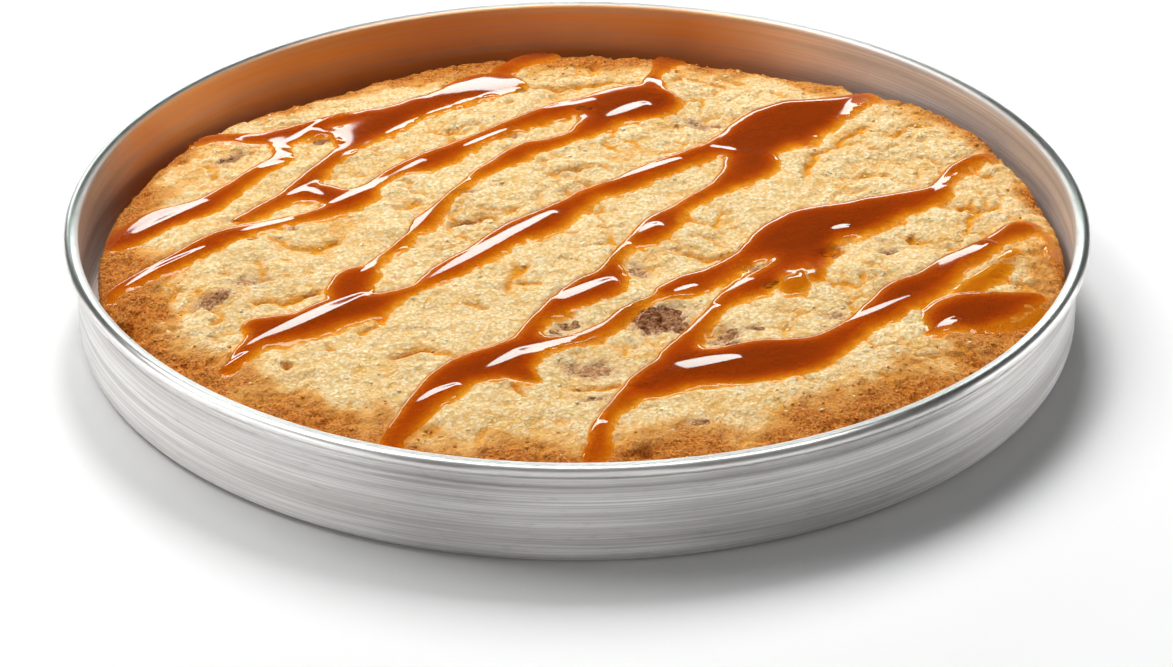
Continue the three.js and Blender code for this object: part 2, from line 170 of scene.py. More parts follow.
# Caramel strands. Each point is x, y and width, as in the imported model's source.
STRANDS = {
    "backDrip": [(-7, 117, 7), (-10, 114, 10), (-14, 109, 10), (-18, 103, 8), (-21, 97, 11)],
    "topLeft": [
        (-17, 90, 17), (-26, 87, 18), (-34, 80, 13), (-43, 73, 13), (-51, 65, 16), (-57, 58, 14),
        (-59, 50, 10),
    ],
    "farLeftArm": [
        (-52, 71, 7), (-66, 66, 8), (-76, 60, 9), (-84, 57, 8), (-92, 59, 7), (-98, 60, 8), (-102, 57, 6),
    ],
    "leftArc": [(-77, 53, 6), (-73, 58, 6), (-67, 61, 6), (-61, 58, 6)],
    "leftDrop": [(-78, 58, 7), (-77, 48, 6), (-77, 41, 8)],
    "firstLeft": [
        (-77, 42, 8), (-83, 34, 7), (-88, 26, 8), (-93, 18, 10), (-98, 14, 12), (-104, 11, 14),
        (-110, 5, 14), (-117, -2, 9),
    ],
    "secondLeft": [
        (-59, 49, 9), (-63, 42, 7), (-67, 34, 7), (-71, 24, 8), (-76, 17, 7), (-82, 10, 6), (-86, 6, 4),
    ],
    "crossLink": [(-72, 21, 8), (-66, 22, 11), (-59, 18, 10)],
    "longLeft": [
        (9, 78, 8), (0, 75, 6), (-5, 70, 10), (-15, 62, 8), (-24, 54, 7), (-31, 47, 9), (-38, 40, 11),
        (-46, 34, 7), (-52, 26, 6), (-56, 18, 11), (-62, 12, 8), (-70, 7, 6), (-78, 3, 7), (-86, -1, 9),
        (-92, -7, 10), (-99, -14, 9), (-106, -21, 8), (-112, -26, 6), (-114, -32, 4),
    ],
    "backRightDrip": [(28, 114, 7), (25, 111, 9), (23, 102, 6), (21, 93, 5), (20, 84, 9)],
    "topBlob": [(24, 77, 12), (20, 76, 20), (14, 74, 23), (9, 71, 19), (5, 64, 10), (1, 57, 7)],
    "middleLeft": [
        (8, 66, 12), (2, 57, 8), (-5, 51, 7), (-13, 46, 9), (-19, 39, 8), (-25, 32, 6), (-30, 24, 4),
        (-35, 13, 5), (-38, 5, 8), (-41, -1, 4), (-44, -8, 5), (-48, -14, 4), (-51, -20, 6),
        (-54, -25, 12), (-56, -35, 12),
    ],
    "bigBlob": [
        (80, 84, 5), (76, 80, 8), (71, 75, 12), (65, 70, 17), (58, 65, 23), (52, 60, 22), (46, 51, 20),
        (43, 43, 15),
    ],
    "blobTip": [(56, 60, 18), (59, 53, 9), (61, 50, 4)],
    "middle": [
        (44, 52, 16), (36, 47, 9), (30, 42, 9), (21, 34, 10), (12, 26, 9), (4, 21, 8), (-2, 13, 10),
        (-8, 5, 13), (-16, -2, 12), (-24, -13, 10), (-31, -21, 10), (-38, -30, 6), (-45, -35, 8),
        (-51, -39, 14), (-58, -42, 15), (-65, -48, 14), (-71, -51, 13), (-76, -56, 8), (-79, -62, 7),
        (-82, -69, 6),
    ],
    "middleLobe": [(-66, -46, 9), (-74, -47, 9), (-79, -48, 7)],
    "middleRight": [
        (47, 44, 17), (43, 33, 13), (37, 25, 8), (30, 17, 7), (25, 11, 7), (21, 3, 11), (17, -4, 9),
        (12, -9, 5), (9, -17, 5), (8, -24, 10), (5, -30, 14), (-1, -36, 11), (-6, -42, 8), (-10, -49, 6),
        (-12, -57, 9),
    ],
    "lowLink": [
        (20, -35, 5), (16, -37, 4), (12, -42, 6), (8, -49, 7), (2, -54, 7), (-5, -57, 8), (-13, -60, 12),
    ],
    "lowStrand": [
        (-12, -57, 10), (-16, -65, 16), (-22, -68, 15), (-28, -73, 13), (-33, -81, 11), (-37, -89, 9),
        (-40, -96, 8), (-42, -104, 7),
    ],
    "lowLobe": [(-19, -67, 13), (-13, -71, 9), (-9, -75, 4)],
    "rightArm": [
        (109, 47, 5), (103, 43, 6), (98, 37, 6), (94, 29, 6), (91, 22, 9), (84, 17, 12), (76, 12, 15),
        (68, 7, 18), (60, 3, 20), (53, -4, 20), (47, -9, 13), (41, -15, 8), (34, -23, 9), (27, -29, 11),
        (20, -34, 7),
    ],
    "armDrop": [(58, -6, 13), (59, -17, 7), (58, -27, 4)],
    "innerRight": [
        (55, -11, 12), (50, -20, 9), (44, -28, 11), (38, -34, 8), (33, -42, 6), (29, -50, 6),
        (26, -57, 8), (23, -66, 12),
    ],
    "lowerArm": [
        (116, 8, 7), (111, 5, 9), (106, -1, 7), (100, -9, 9), (93, -16, 10), (87, -24, 11), (80, -31, 13),
        (73, -41, 11), (67, -48, 9), (60, -57, 12), (53, -62, 17), (44, -65, 20), (35, -68, 19),
        (27, -69, 18), (20, -74, 15), (14, -79, 9), (9, -87, 6), (6, -94, 6), (5, -103, 7), (4, -110, 6),
    ],
    "rightPool": [
        (114, -29, 5), (108, -32, 9), (101, -36, 15), (95, -39, 18), (90, -42, 15), (87, -47, 8),
        (84, -52, 4),
    ],
}

# Where the caramel is only a film that has soaked in.
FILMS = {
    "rightFilm": [(114, 9, 4), (118, 3, 4), (119, -4, 4), (118, -11, 3)],
    "underArm": [(109, -8, 5), (104, -18, 7), (98, -25, 8), (93, -32, 7)],
    "lumpFilm": [(56, -17, 8), (53, -26, 10), (52, -32, 7)],
    "poolFilm": [(116, -28, 3), (113, -36, 5), (106, -42, 6), (98, -47, 5)],
}

# Ridges that stood up in the strands as they set: the width of the steep side, and the points it runs along.
RIDGES = [
    (4.4, [(-50.9, 57.4), (-36.7, 70.4), (-22.5, 81.9)]),
    (2.9, [(-76.5, 53.5), (-70.2, 62.2), (-60.9, 52.5)]),
    (2.4, [(-104.4, 57.7), (-90.2, 57.6), (-80.7, 46.9)]),
    (2.5, [(-62.1, 41), (-57.5, 47.4)]),
    (3.4, [(-111.4, 3.9), (-102.9, 12.2), (-94.2, 19.8)]),
    (2.4, [(-82.4, 36.2), (-76, 40.6)]),
    (3.2, [(-74.5, 19.2), (-69.5, 23.9), (-63.8, 19)]),
    (3.7, [(-63, 14.3), (-48, 29.2), (-39.8, 40.6)]),
    (2.4, [(-112.4, -27.5), (-102.5, -16.1), (-91.5, -6.7)]),
    (2.4, [(-84.6, -0.4), (-70.4, 7.1)]),
    (2.5, [(-30.6, 46.8), (-16, 60)]),
    (2.4, [(-10, 69.2), (4.9, 76.6)]),
    (4.6, [(6.7, 64.5), (18.5, 74.4)]),
    (3.4, [(18.9, 85.7), (24.7, 102.6), (30.5, 116)]),
    (3.4, [(-42, -4.1), (-34.8, 18.6), (-28, 29.4)]),
    (2.5, [(-25.7, 38.3), (-15.8, 48)]),
    (2.4, [(-53.4, -23.1), (-42.1, -8.5)]),
    (5.2, [(-79.4, -58.3), (-68.2, -48.7), (-51.2, -32.4)]),
    (2.4, [(-83.4, -66.3), (-75.6, -57.4)]),
    (4.6, [(-38.5, -29.1), (-26.3, -14.8), (-15.5, -1), (-5.8, 10.7)]),
    (3.2, [(7.3, 26), (27.1, 40.5)]),
    (2.5, [(34.6, 47.6), (41.5, 44.7)]),
    (5.8, [(67.5, 61.5), (77.4, 80)]),
    (2.5, [(13.9, -4.4), (20, 3.8)]),
    (2.4, [(8.4, -15.2), (12.4, -6.9)]),
    (4.8, [(-10.1, -48.3), (-4.5, -37), (8.8, -25.1)]),
    (5.5, [(-23.5, -72.5), (-13.3, -62.6), (0.8, -55.9), (12.3, -38.6)]),
    (3.7, [(-38.1, -85.8), (-32.6, -80.3), (-26.9, -75.9)]),
    (3.2, [(89.1, 19), (101.1, 39)]),
    (3.7, [(62.1, -0.1), (68.8, 3.4)]),
    (2.9, [(43.7, -16.5), (49.2, -15)]),
    (2.9, [(20.8, -35.4), (29.4, -28.8)]),
    (3.2, [(25.6, -54.7), (33, -38.4)]),
    (2.4, [(34.6, -33.8), (42.7, -25)]),
    (6.0, [(17.8, -75.7), (24.1, -69.1), (38.8, -64.2)]),
    (3.4, [(63.5, -47.3), (81.1, -32.4)]),
    (7.1, [(87.2, -22.7), (102.3, -3)]),
    (4.4, [(83.7, -53.3), (91.1, -42.5)]),
    (2.9, [(1.8, -98.5), (5.9, -91.7)]),
]

# Chips whose tops show: x, y, length, width, turn in degrees, and how far the dough covers them.
CHIPS = [
    (-90, 47, 12, 4, 52, 0.5), (-67, 57, 6, 4, 10, 0.4), (-85, 7, 5, 2.5, 0, 0.5),
    (-71, 3, 4, 2, 20, 0.6), (-81, -4, 3, 2, 0, 0.6), (-16, 85, 6, 4, 30, 0.5), (-18, 55, 8, 4, 15, 0.9),
    (1.5, 72, 5, 3, 0, 0.2), (33, 63, 14, 5, -22, 0.8), (-29, 22, 6, 4, 10, 0.8),
    (-28, 6.5, 7, 3, 5, 0.2), (-80, -24, 10, 7, 0, 0.95), (-88, -34, 9, 6, 25, 0.45),
    (-2, -47.5, 6, 4, 0, 0.35), (-5, -51, 4, 3, 0, 0.3), (14.5, -19, 8, 6, -40, 0.7),
    (19.5, -44, 13, 11, 40, 0.05), (25, -48, 5, 4, 0, 0.3), (43, -19.5, 10, 6, -20, 0.75),
    (47, -28, 5, 3, 30, 0.2), (35, -53, 9, 7, 50, 0.6), (36.5, -57, 4, 3, 0, 0.1),
    (3, -67, 13, 8, 0, 0.7), (43, -49, 4, 2.5, 0, 0.5), (77, -8, 6, 3, 10, 0.5), (62, -42, 6, 4, 0, 0.85),
    (4, -82, 6, 3, 0, 0.55), (28, -92, 6, 3.5, 0, 0.7),
]

# Caramel: how a strand crowns, how thick it gets, how it sits in the crumb, and the grid it is made on.
EDGE_HIGH = 0.38
EDGE_REACH = 0.6
CROWN_SLOPE = 0.27
LEVELLED = 0.08
THICKEST = 1.4
FILM_SHARE = 0.3
JOIN_REACH = 2.6
TIP_SHARE = 0.35
SINK = 0.12
MARGIN = 0.9
CARAMEL_REACH = 124
CARAMEL_PITCH = 0.55
OUTLINE_ROOM = 6
FAR_OUTSIDE = -9.0
INFLATE_STEPS = 900
WIDTH_SMOOTHING = 12

# The colour of a strand's side away from the back left is painted paler over this reach, down to this share,
# a painted glow of light from behind.
GLOW_REACH = 4.2
GLOW_LEAST = 0.3

# Liquid levels out the crumb under it: the shares of the crumb's own form and of the levelled one, how often
# each is smoothed, and how far the levelled one may lie under the crumb.
CRUMB_SHARE = 0.2
LEVEL_SHARE = 0.8
CRUMB_SMOOTHING = 25
LEVEL_SMOOTHING = 375
BED_SMOOTHING = 8
LEVEL_DROP = 0.2

# The caramel lies thicker at each strand's back left side, and more so at the back and in the flat strands.
FLAT_STRANDS = ("bigBlob", "blobTip", "rightArm")
LEAN_LEAST = 0.3
LEAN_BACK = 0.6
LEAN_FAR_BACK = 0.8

# A ridge's steep side has the slope that mirrors the low window, less RIDGE_EASE for each millimetre towards
# the back. Its other side falls away over RIDGE_FALL.
RIDGE_SLOPE = 0.072
RIDGE_EASE = 0.00025
RIDGE_STEEPEST = 0.25
RIDGE_FALL = 3.0
RIDGE_ROOM = 14
RIDGE_ROUNDS = 4

# Chips: points round each ring, and rings.
CHIP_STEPS = 40
CHIP_RINGS = 13


def add_node(tree, kind, inputs=None, **settings):
    """Adds a node with its settings. inputs gives each input, by name or number, its value or a socket."""
    node = tree.nodes.new(kind)
    for name, value in settings.items():
        setattr(node, name, value)
    for key, value in (inputs or {}).items():
        if isinstance(value, bpy.types.NodeSocket):
            tree.links.new(value, node.inputs[key])
        else:
            node.inputs[key].default_value = value
    return node


def linear(colour):
    """An sRGB hex colour as linear red, green, blue and alpha."""
    values = [int(colour[i : i + 2], 16) / 255 for i in (1, 3, 5)]
    return [v / 12.92 if v <= 0.04045 else ((v + 0.055) / 1.055) ** 2.4 for v in values] + [1.0]


def hash_value(i, j, seed):
    """A repeatable number from -1 to 1 for each lattice point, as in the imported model's source."""
    s = np.sin(i * 127.1 + j * 311.7 + seed * 74.7) * 43758.5453
    return 2 * (s - np.floor(s)) - 1


def noise(x, y, seed):
    """Value noise from -1 to 1 with one lump for each unit of x and y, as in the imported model's source."""
    i = np.floor(x)
    j = np.floor(y)
    u = x - i
    v = y - j
    u = u * u * (3 - 2 * u)
    v = v * v * (3 - 2 * v)
    low = hash_value(i, j, seed) * (1 - u) + hash_value(i + 1, j, seed) * u
    high = hash_value(i, j + 1, seed) * (1 - u) + hash_value(i + 1, j + 1, seed) * u
    return low * (1 - v) + high * v


def bumps(x, y, spacing, seed):
    """Noise with one lump for each spacing, in millimetres."""
    return noise(x / spacing, y / spacing, seed)


def fractal(x, y, spacing, octaves, seed):
    """Bumps summed over octaves from the spacing down, each turned so that the lattice doesn't show."""
    total = np.zeros_like(x)
    weight = 1.0
    turn = math.radians(37)
    for octave in range(octaves):
        total += weight * bumps(x, y, spacing, seed + 10 * octave)
        x, y = x * math.cos(turn) - y * math.sin(turn), x * math.sin(turn) + y * math.cos(turn)
        spacing *= 0.52
        weight *= 0.55
    return total


def cells(x, y, spacing, seed):
    """Cells round a field of jittered points: the distance to the nearest point, how much further the second
    nearest is, and a number from -1 to 1 that a whole cell shares. Distances are shares of the spacing."""
    x = x / spacing
    y = y / spacing
    nearest = np.full(x.shape, 9.0)
    second = np.full(x.shape, 9.0)
    lot = np.zeros(x.shape)
    for di in (-1, 0, 1):
        for dj in (-1, 0, 1):
            i = np.floor(x) + di
            j = np.floor(y) + dj
            px = i + 0.5 + 0.42 * hash_value(i, j, seed)
            py = j + 0.5 + 0.42 * hash_value(i, j, seed + 1)
            distance = np.hypot(x - px, y - py)
            second = np.minimum(second, np.maximum(nearest, distance))
            lot = np.where(distance < nearest, hash_value(i, j, seed + 2), lot)
            nearest = np.minimum(nearest, distance)
    return nearest, second - nearest, lot


def smooth_step(low, high, value):
    t = np.clip((value - low) / (high - low), 0, 1)
    return t * t * (3 - 2 * t)


def bell(distance, reach):
    return np.exp(-((distance / reach) ** 2))


def distance_to_path(x, y, path):
    least = np.full(x.shape, 999.0)
    for (ax, ay), (bx, by) in zip(path, path[1:]):
        along = ((x - ax) * (bx - ax) + (y - ay) * (by - ay)) / ((bx - ax) ** 2 + (by - ay) ** 2)
        t = np.clip(along, 0, 1)
        least = np.minimum(least, np.hypot(x - ax - t * (bx - ax), y - ay - t * (by - ay)))
    return least


def smoothed(values, times):
    """Grid values, each averaged with its neighbours over and over."""
    for _ in range(times):
        padded = np.pad(values, 1, mode="edge")
        across = padded[:, :-2] + padded[:, 1:-1] + padded[:, 2:]
        values = (across[:-2] + across[1:-1] + across[2:]) / 9
    return values


# The cookie's smooth form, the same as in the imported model's source

def outline_radius(angle):
    return COOKIE_RADIUS + OUTLINE_WANDER * (noise(4 * np.cos(angle) + 9, 4 * np.sin(angle) + 9, 3) - 1)


def edge_height(angle):
    height = np.full(np.shape(angle), EDGE_HEIGHT)
    for direction, rise, spread in SHOULDER_SWELLS:
        turn = np.abs(np.mod(np.degrees(angle) - direction + 180, 360) - 180)
        height = height + rise * bell(turn, spread)
    return height


def polar(x, y):
    """Direction from the cookie's middle, and distance as a share of its outline's."""
    angle = np.arctan2(y - COOKIE_Y, x - COOKIE_X)
    return angle, np.hypot(x - COOKIE_X, y - COOKIE_Y) / outline_radius(angle)


def bed_height(x, y):
    angle, share = polar(x, y)
    share = np.minimum(share, 1)
    edge = edge_height(angle)
    shoulder = np.sqrt(1 - share**SHOULDER_POWER)
    height = edge + (PLATEAU_HEIGHT - edge) * shoulder + 0.5 * (1 - share * share)
    for sx, sy, reach, rise in SWELLS:
        height = height + rise * bell(np.hypot(x - sx, y - sy), reach)
    return height + BROAD_CRAG * bumps(x, y, BROAD_SPACING, 11)


# The caramel's form

def strand_line(knots, step=1.2):
    """Points x, y and half width along a smooth line through the knots, tapered to round tips."""
    knots = np.array(knots, float)
    padded = np.vstack([2 * knots[0] - knots[1], knots, 2 * knots[-1] - knots[-2]])
    line = []
    for a, b, c, d in zip(padded, padded[1:], padded[2:], padded[3:]):
        count = max(2, math.ceil(np.hypot(*(c - b)[:2]) / step))
        t = np.arange(count)[:, None] / count
        line.append(0.5 * (2 * b + (c - a) * t + (2 * a - 5 * b + 4 * c - d) * t**2
                           + (3 * b - a - 3 * c + d) * t**3))
    line = np.vstack(line + [knots[-1:]])
    along = np.concatenate([[0], np.cumsum(np.hypot(*np.diff(line[:, :2], axis=0).T))])
    to_end = np.minimum(along, along[-1] - along)
    half = 0.5 * line[:, 2]
    line[:, 2] = np.minimum(half, to_end + TIP_SHARE * half)
    return line


class CaramelGrid:
    """Square grid over the cookie on which the caramel's outline and thickness are worked out."""

    def __init__(self):
        blocks = 2 * math.ceil(CARAMEL_REACH / (2 * CARAMEL_PITCH))
        self.axis = (np.arange(2 * blocks + 1) - blocks) * CARAMEL_PITCH
        self.x, self.y = np.meshgrid(self.axis, self.axis)

    def window(self, points, room):
        """Rows and columns of the grid that hold the points, with room all round them."""
        low = np.min(points, axis=0) - room
        high = np.max(points, axis=0) + room
        columns = slice(*np.searchsorted(self.axis, (low[0], high[0])))
        rows = slice(*np.searchsorted(self.axis, (low[1], high[1])))
        return rows, columns

    def at(self, values, x, y):
        """Values of the grid read between its points."""
        column = np.clip((x - self.axis[0]) / CARAMEL_PITCH, 0, len(self.axis) - 1.001)
        row = np.clip((y - self.axis[0]) / CARAMEL_PITCH, 0, len(self.axis) - 1.001)
        i = row.astype(int)
        j = column.astype(int)
        v = row - i
        u = column - j
        low = values[i, j] * (1 - u) + values[i, j + 1] * u
        high = values[i + 1, j] * (1 - u) + values[i + 1, j + 1] * u
        return low * (1 - v) + high * v

    def outline(self, paths):
        """How far each grid point is inside the strands, with neighbours drawn together where they meet."""
        total = np.full(self.x.shape, FAR_OUTSIDE)
        for knots in paths.values():
            line = strand_line(knots)
            one = np.full(self.x.shape, FAR_OUTSIDE)
            for p, q in zip(line, line[1:]):
                window = self.window([p[:2], q[:2]], max(p[2], q[2]) + OUTLINE_ROOM)
                x = self.x[window]
                y = self.y[window]
                length = max(np.sum((q[:2] - p[:2]) ** 2), 1e-9)
                t = np.clip(((x - p[0]) * (q[0] - p[0]) + (y - p[1]) * (q[1] - p[1])) / length, 0, 1)
                away = np.hypot(x - p[0] - t * (q[0] - p[0]), y - p[1] - t * (q[1] - p[1]))
                one[window] = np.maximum(one[window], p[2] + t * (q[2] - p[2]) - away)
            near = np.maximum(JOIN_REACH - np.abs(total - one), 0) / JOIN_REACH
            total = np.maximum(total, one) + 0.25 * JOIN_REACH * near**2 * (np.maximum(total, one) > -5)
        wobble = 0.22 * bumps(self.x, self.y, 4.3, 61) + 0.1 * bumps(self.x, self.y, 1.9, 62)
        # The side towards the front right ran into the crumb and is ragged.
        ragged = 0.6 * bumps(self.x, self.y, 3.1, 63) + 0.45 * bumps(self.x, self.y, 1.4, 64)
        ahead = self.at(total, self.x + 1.4, self.y - 1.4)
        before = self.at(total, self.x - 1.4, self.y + 1.4)
        return total + wobble + ragged * np.clip((before - ahead) / 3, 0, 1)

    def thickness(self, inside):
        """Thickness of a skin of liquid over the outline, in two parts: a small steep edge, and a crown that
        is round across a strand and meets its sides at one slope, whatever its width. With them comes how far
        across a strand each point is, from -1 at the side towards the back left to 1 at the front right."""
        wet = inside > 0
        level = np.zeros_like(inside)
        source = CARAMEL_PITCH**2
        for _ in range(INFLATE_STEPS):
            around = level[:-2, 1:-1] + level[2:, 1:-1] + level[1:-1, :-2] + level[1:-1, 2:]
            level[1:-1, 1:-1] = np.where(wet[1:-1, 1:-1], 0.25 * (around + source), 0)
        edge = EDGE_HIGH * (1 - np.exp(-((np.maximum(inside, 0) / EDGE_REACH) ** 2)))
        deep = np.maximum(inside, 0.05)
        half_width = np.where(wet, (2 * level + deep * deep) / (2 * deep), 0)
        wet_near = np.maximum(smoothed(wet.astype(float), WIDTH_SMOOTHING), 1e-3)
        half_width = np.maximum(smoothed(half_width, WIDTH_SMOOTHING) / wet_near, 0.3)
        slope_y, slope_x = np.gradient(level, CARAMEL_PITCH)
        across = np.clip((slope_y - slope_x) / math.sqrt(2) / half_width, -1, 1)
        return edge, CROWN_SLOPE * level / half_width, across

    def ridge_shape(self, width, path):
        """Where a ridge lies on the grid, how high it would be with a steep side of slope one, and which
        points are in the middle of that side."""
        path = np.array(sorted(path))
        lengths = np.hypot(*np.diff(path, axis=0).T)
        starts = np.concatenate([[0], np.cumsum(lengths)])
        window = self.window(path, RIDGE_ROOM)
        x = self.x[window]
        y = self.y[window]
        least = np.full(x.shape, 99.0)
        off = np.zeros_like(x)
        share = np.zeros_like(x)
        for p, q, start, length in zip(path, path[1:], starts, lengths):
            ahead = (q - p) / length
            u = np.clip((x - p[0]) * ahead[0] + (y - p[1]) * ahead[1], 0, length)
            away = np.hypot(x - p[0] - u * ahead[0], y - p[1] - u * ahead[1])
            closer = away < least
            least = np.where(closer, away, least)
            off = np.where(closer, (x - p[0]) * ahead[1] - (y - p[1]) * ahead[0], off)
            share = np.where(closer, (start + u) / starts[-1], share)
        wide = width * np.sqrt(np.clip(1 - (2 * share - 1) ** 2, 0, 1))
        rise = np.clip(off + wide / 2, 0, wide) * np.exp(-np.maximum(off - wide / 2, 0) / RIDGE_FALL)
        return window, rise, least < 0.25 * wide

    def ridges(self, surface, wet):
        """Height of the ridges over the surface. The back left side of each is brought to the slope that
        mirrors the window, whatever the surface's own slope there, and the other side falls away gently."""
        shapes = [self.ridge_shape(width, path) for width, path in RIDGES]
        steep = np.full(len(shapes), RIDGE_SLOPE)
        for _ in range(RIDGE_ROUNDS):
            total = np.zeros_like(surface)
            for slope, (window, rise, _) in zip(steep, shapes):
                total[window] = np.maximum(total[window], slope * rise)
            total = smoothed(total, 1) * wet
            lean = np.gradient(surface + total, CARAMEL_PITCH)[0]
            for number, (window, _, middle) in enumerate(shapes):
                middle = middle & (wet[window] > 0.9)
                if middle.any():
                    wanted = RIDGE_SLOPE - RIDGE_EASE * self.y[window]
                    steep[number] += np.median((lean[window] + wanted)[middle])
            steep = np.clip(steep, 0, RIDGE_STEEPEST)
        return total


def poured_caramel(grid):
    """The caramel on the grid: how far inside its outline each point is, the crust that it lies on, its
    thickness, and the thickness that gives it its colour, which is painted thinner on each strand's front
    right side as a painted glow."""
    strands = grid.outline(STRANDS)
    films = grid.outline(FILMS)
    flat = smooth_step(-2, 3, grid.outline({name: STRANDS[name] for name in FLAT_STRANDS}))
    edge, crown, across = grid.thickness(strands)
    film_edge, film_crown, _ = grid.thickness(films)
    film = FILM_SHARE * (film_edge + film_crown)

    crust_bed = smoothed(bed_height(grid.x, grid.y), CRUMB_SMOOTHING)
    level_bed = CRUMB_SHARE * crust_bed + LEVEL_SHARE * smoothed(crust_bed, LEVEL_SMOOTHING)
    level_bed = smoothed(np.maximum(level_bed, crust_bed - LEVEL_DROP), BED_SMOOTHING)
    bed = crust_bed + (level_bed - crust_bed) * smooth_step(-1.2, 0.5, strands)

    far_back = np.maximum(flat * smooth_step(45, 75, grid.y), 0.5 * smooth_step(50, 80, grid.y))
    lean = LEAN_LEAST + LEAN_BACK * np.maximum(smooth_step(10, 80, grid.y), flat)
    lean = lean + LEAN_FAR_BACK * far_back
    sides = 1 - 0.5 * smooth_step(0, 1, across) + 0.5 * lean / EDGE_HIGH * (1 - across)
    base = edge * sides + LEVELLED * crown
    ridges = grid.ridges(bed + base, np.clip(strands / 1.2, 0, 1))

    # The front right side of a strand is painted paler, a painted glow of the light from behind that shines
    # through it.
    shift = GLOW_REACH / math.sqrt(2)
    beyond = grid.at(strands, grid.x + shift, grid.y - shift)
    painted_glow = GLOW_LEAST + (1 - GLOW_LEAST) * smooth_step(-GLOW_REACH, 1.0, beyond)
    thickness = np.maximum(base + ridges, film)
    tint = np.maximum((edge + crown) * painted_glow, film)
    return np.maximum(strands, films), bed, thickness, tint


# Meshes

def new_object(name, data):
    made = bpy.data.objects.new(name, data)
    bpy.context.scene.collection.objects.link(made)
    return made


def paint_points(mesh, name, values):
    """Keeps a number for each point of a mesh, which a material or a Geometry Nodes tree reads by name."""
    mesh.attributes.new(name, "FLOAT", "POINT").data.foreach_set("value", np.asarray(values, np.float32))


def point_places(mesh):
    """x, y and z of a mesh's points, in millimetres."""
    places = np.zeros(3 * len(mesh.vertices), np.float32)
    mesh.vertices.foreach_get("co", places)
    return places.reshape(-1, 3).T / MM


def plain_mesh(name, points, faces, material, painted=None):
    """An object at the origin from points in millimetres, with the numbers that are painted on its points."""
    mesh = bpy.data.meshes.new(name)
    mesh.from_pydata((np.asarray(points) * MM).tolist(), [], faces)
    mesh.materials.append(material)
    for key, values in (painted or {}).items():
        paint_points(mesh, key, values)
    mesh.shade_smooth()
    return new_object(name, mesh)


def grown_mesh(name, source, tree, sizes):
    """A plain mesh object of what a Geometry Nodes tree makes from a source object, with its named sizes."""
    change = source.modifiers.new(name, "NODES")
    change.node_group = tree
    for key, value in sizes.items():
        change[tree.interface.items_tree[key].identifier] = value
    bpy.context.view_layer.update()
    depsgraph = bpy.context.evaluated_depsgraph_get()
    mesh = bpy.data.meshes.new_from_object(source.evaluated_get(depsgraph))
    source.modifiers.remove(change)
    mesh.name = name
    mesh.shade_smooth()
    return new_object(name, mesh)


# Materials

def new_material(name):
    material = bpy.data.materials.new(name)
    material.use_nodes = True
    tree = material.node_tree
    return material, tree, tree.nodes["Principled BSDF"]


def colour_layer(tree, below, above, pattern, low=0.0, high=1.0, least=0.0, most=1.0):
    """Lays a colour over another. Its share goes from least to most as the pattern goes from low to high, and
    each colour is a hex value or a socket."""
    share = add_node(tree, "ShaderNodeMapRange", {0: pattern, 1: low, 2: high, 3: least, 4: most}).outputs[0]
    below, above = [linear(colour) if isinstance(colour, str) else colour for colour in (below, above)]
    return add_node(tree, "ShaderNodeMix", {0: share, 6: below, 7: above}, data_type="RGBA").outputs[2]


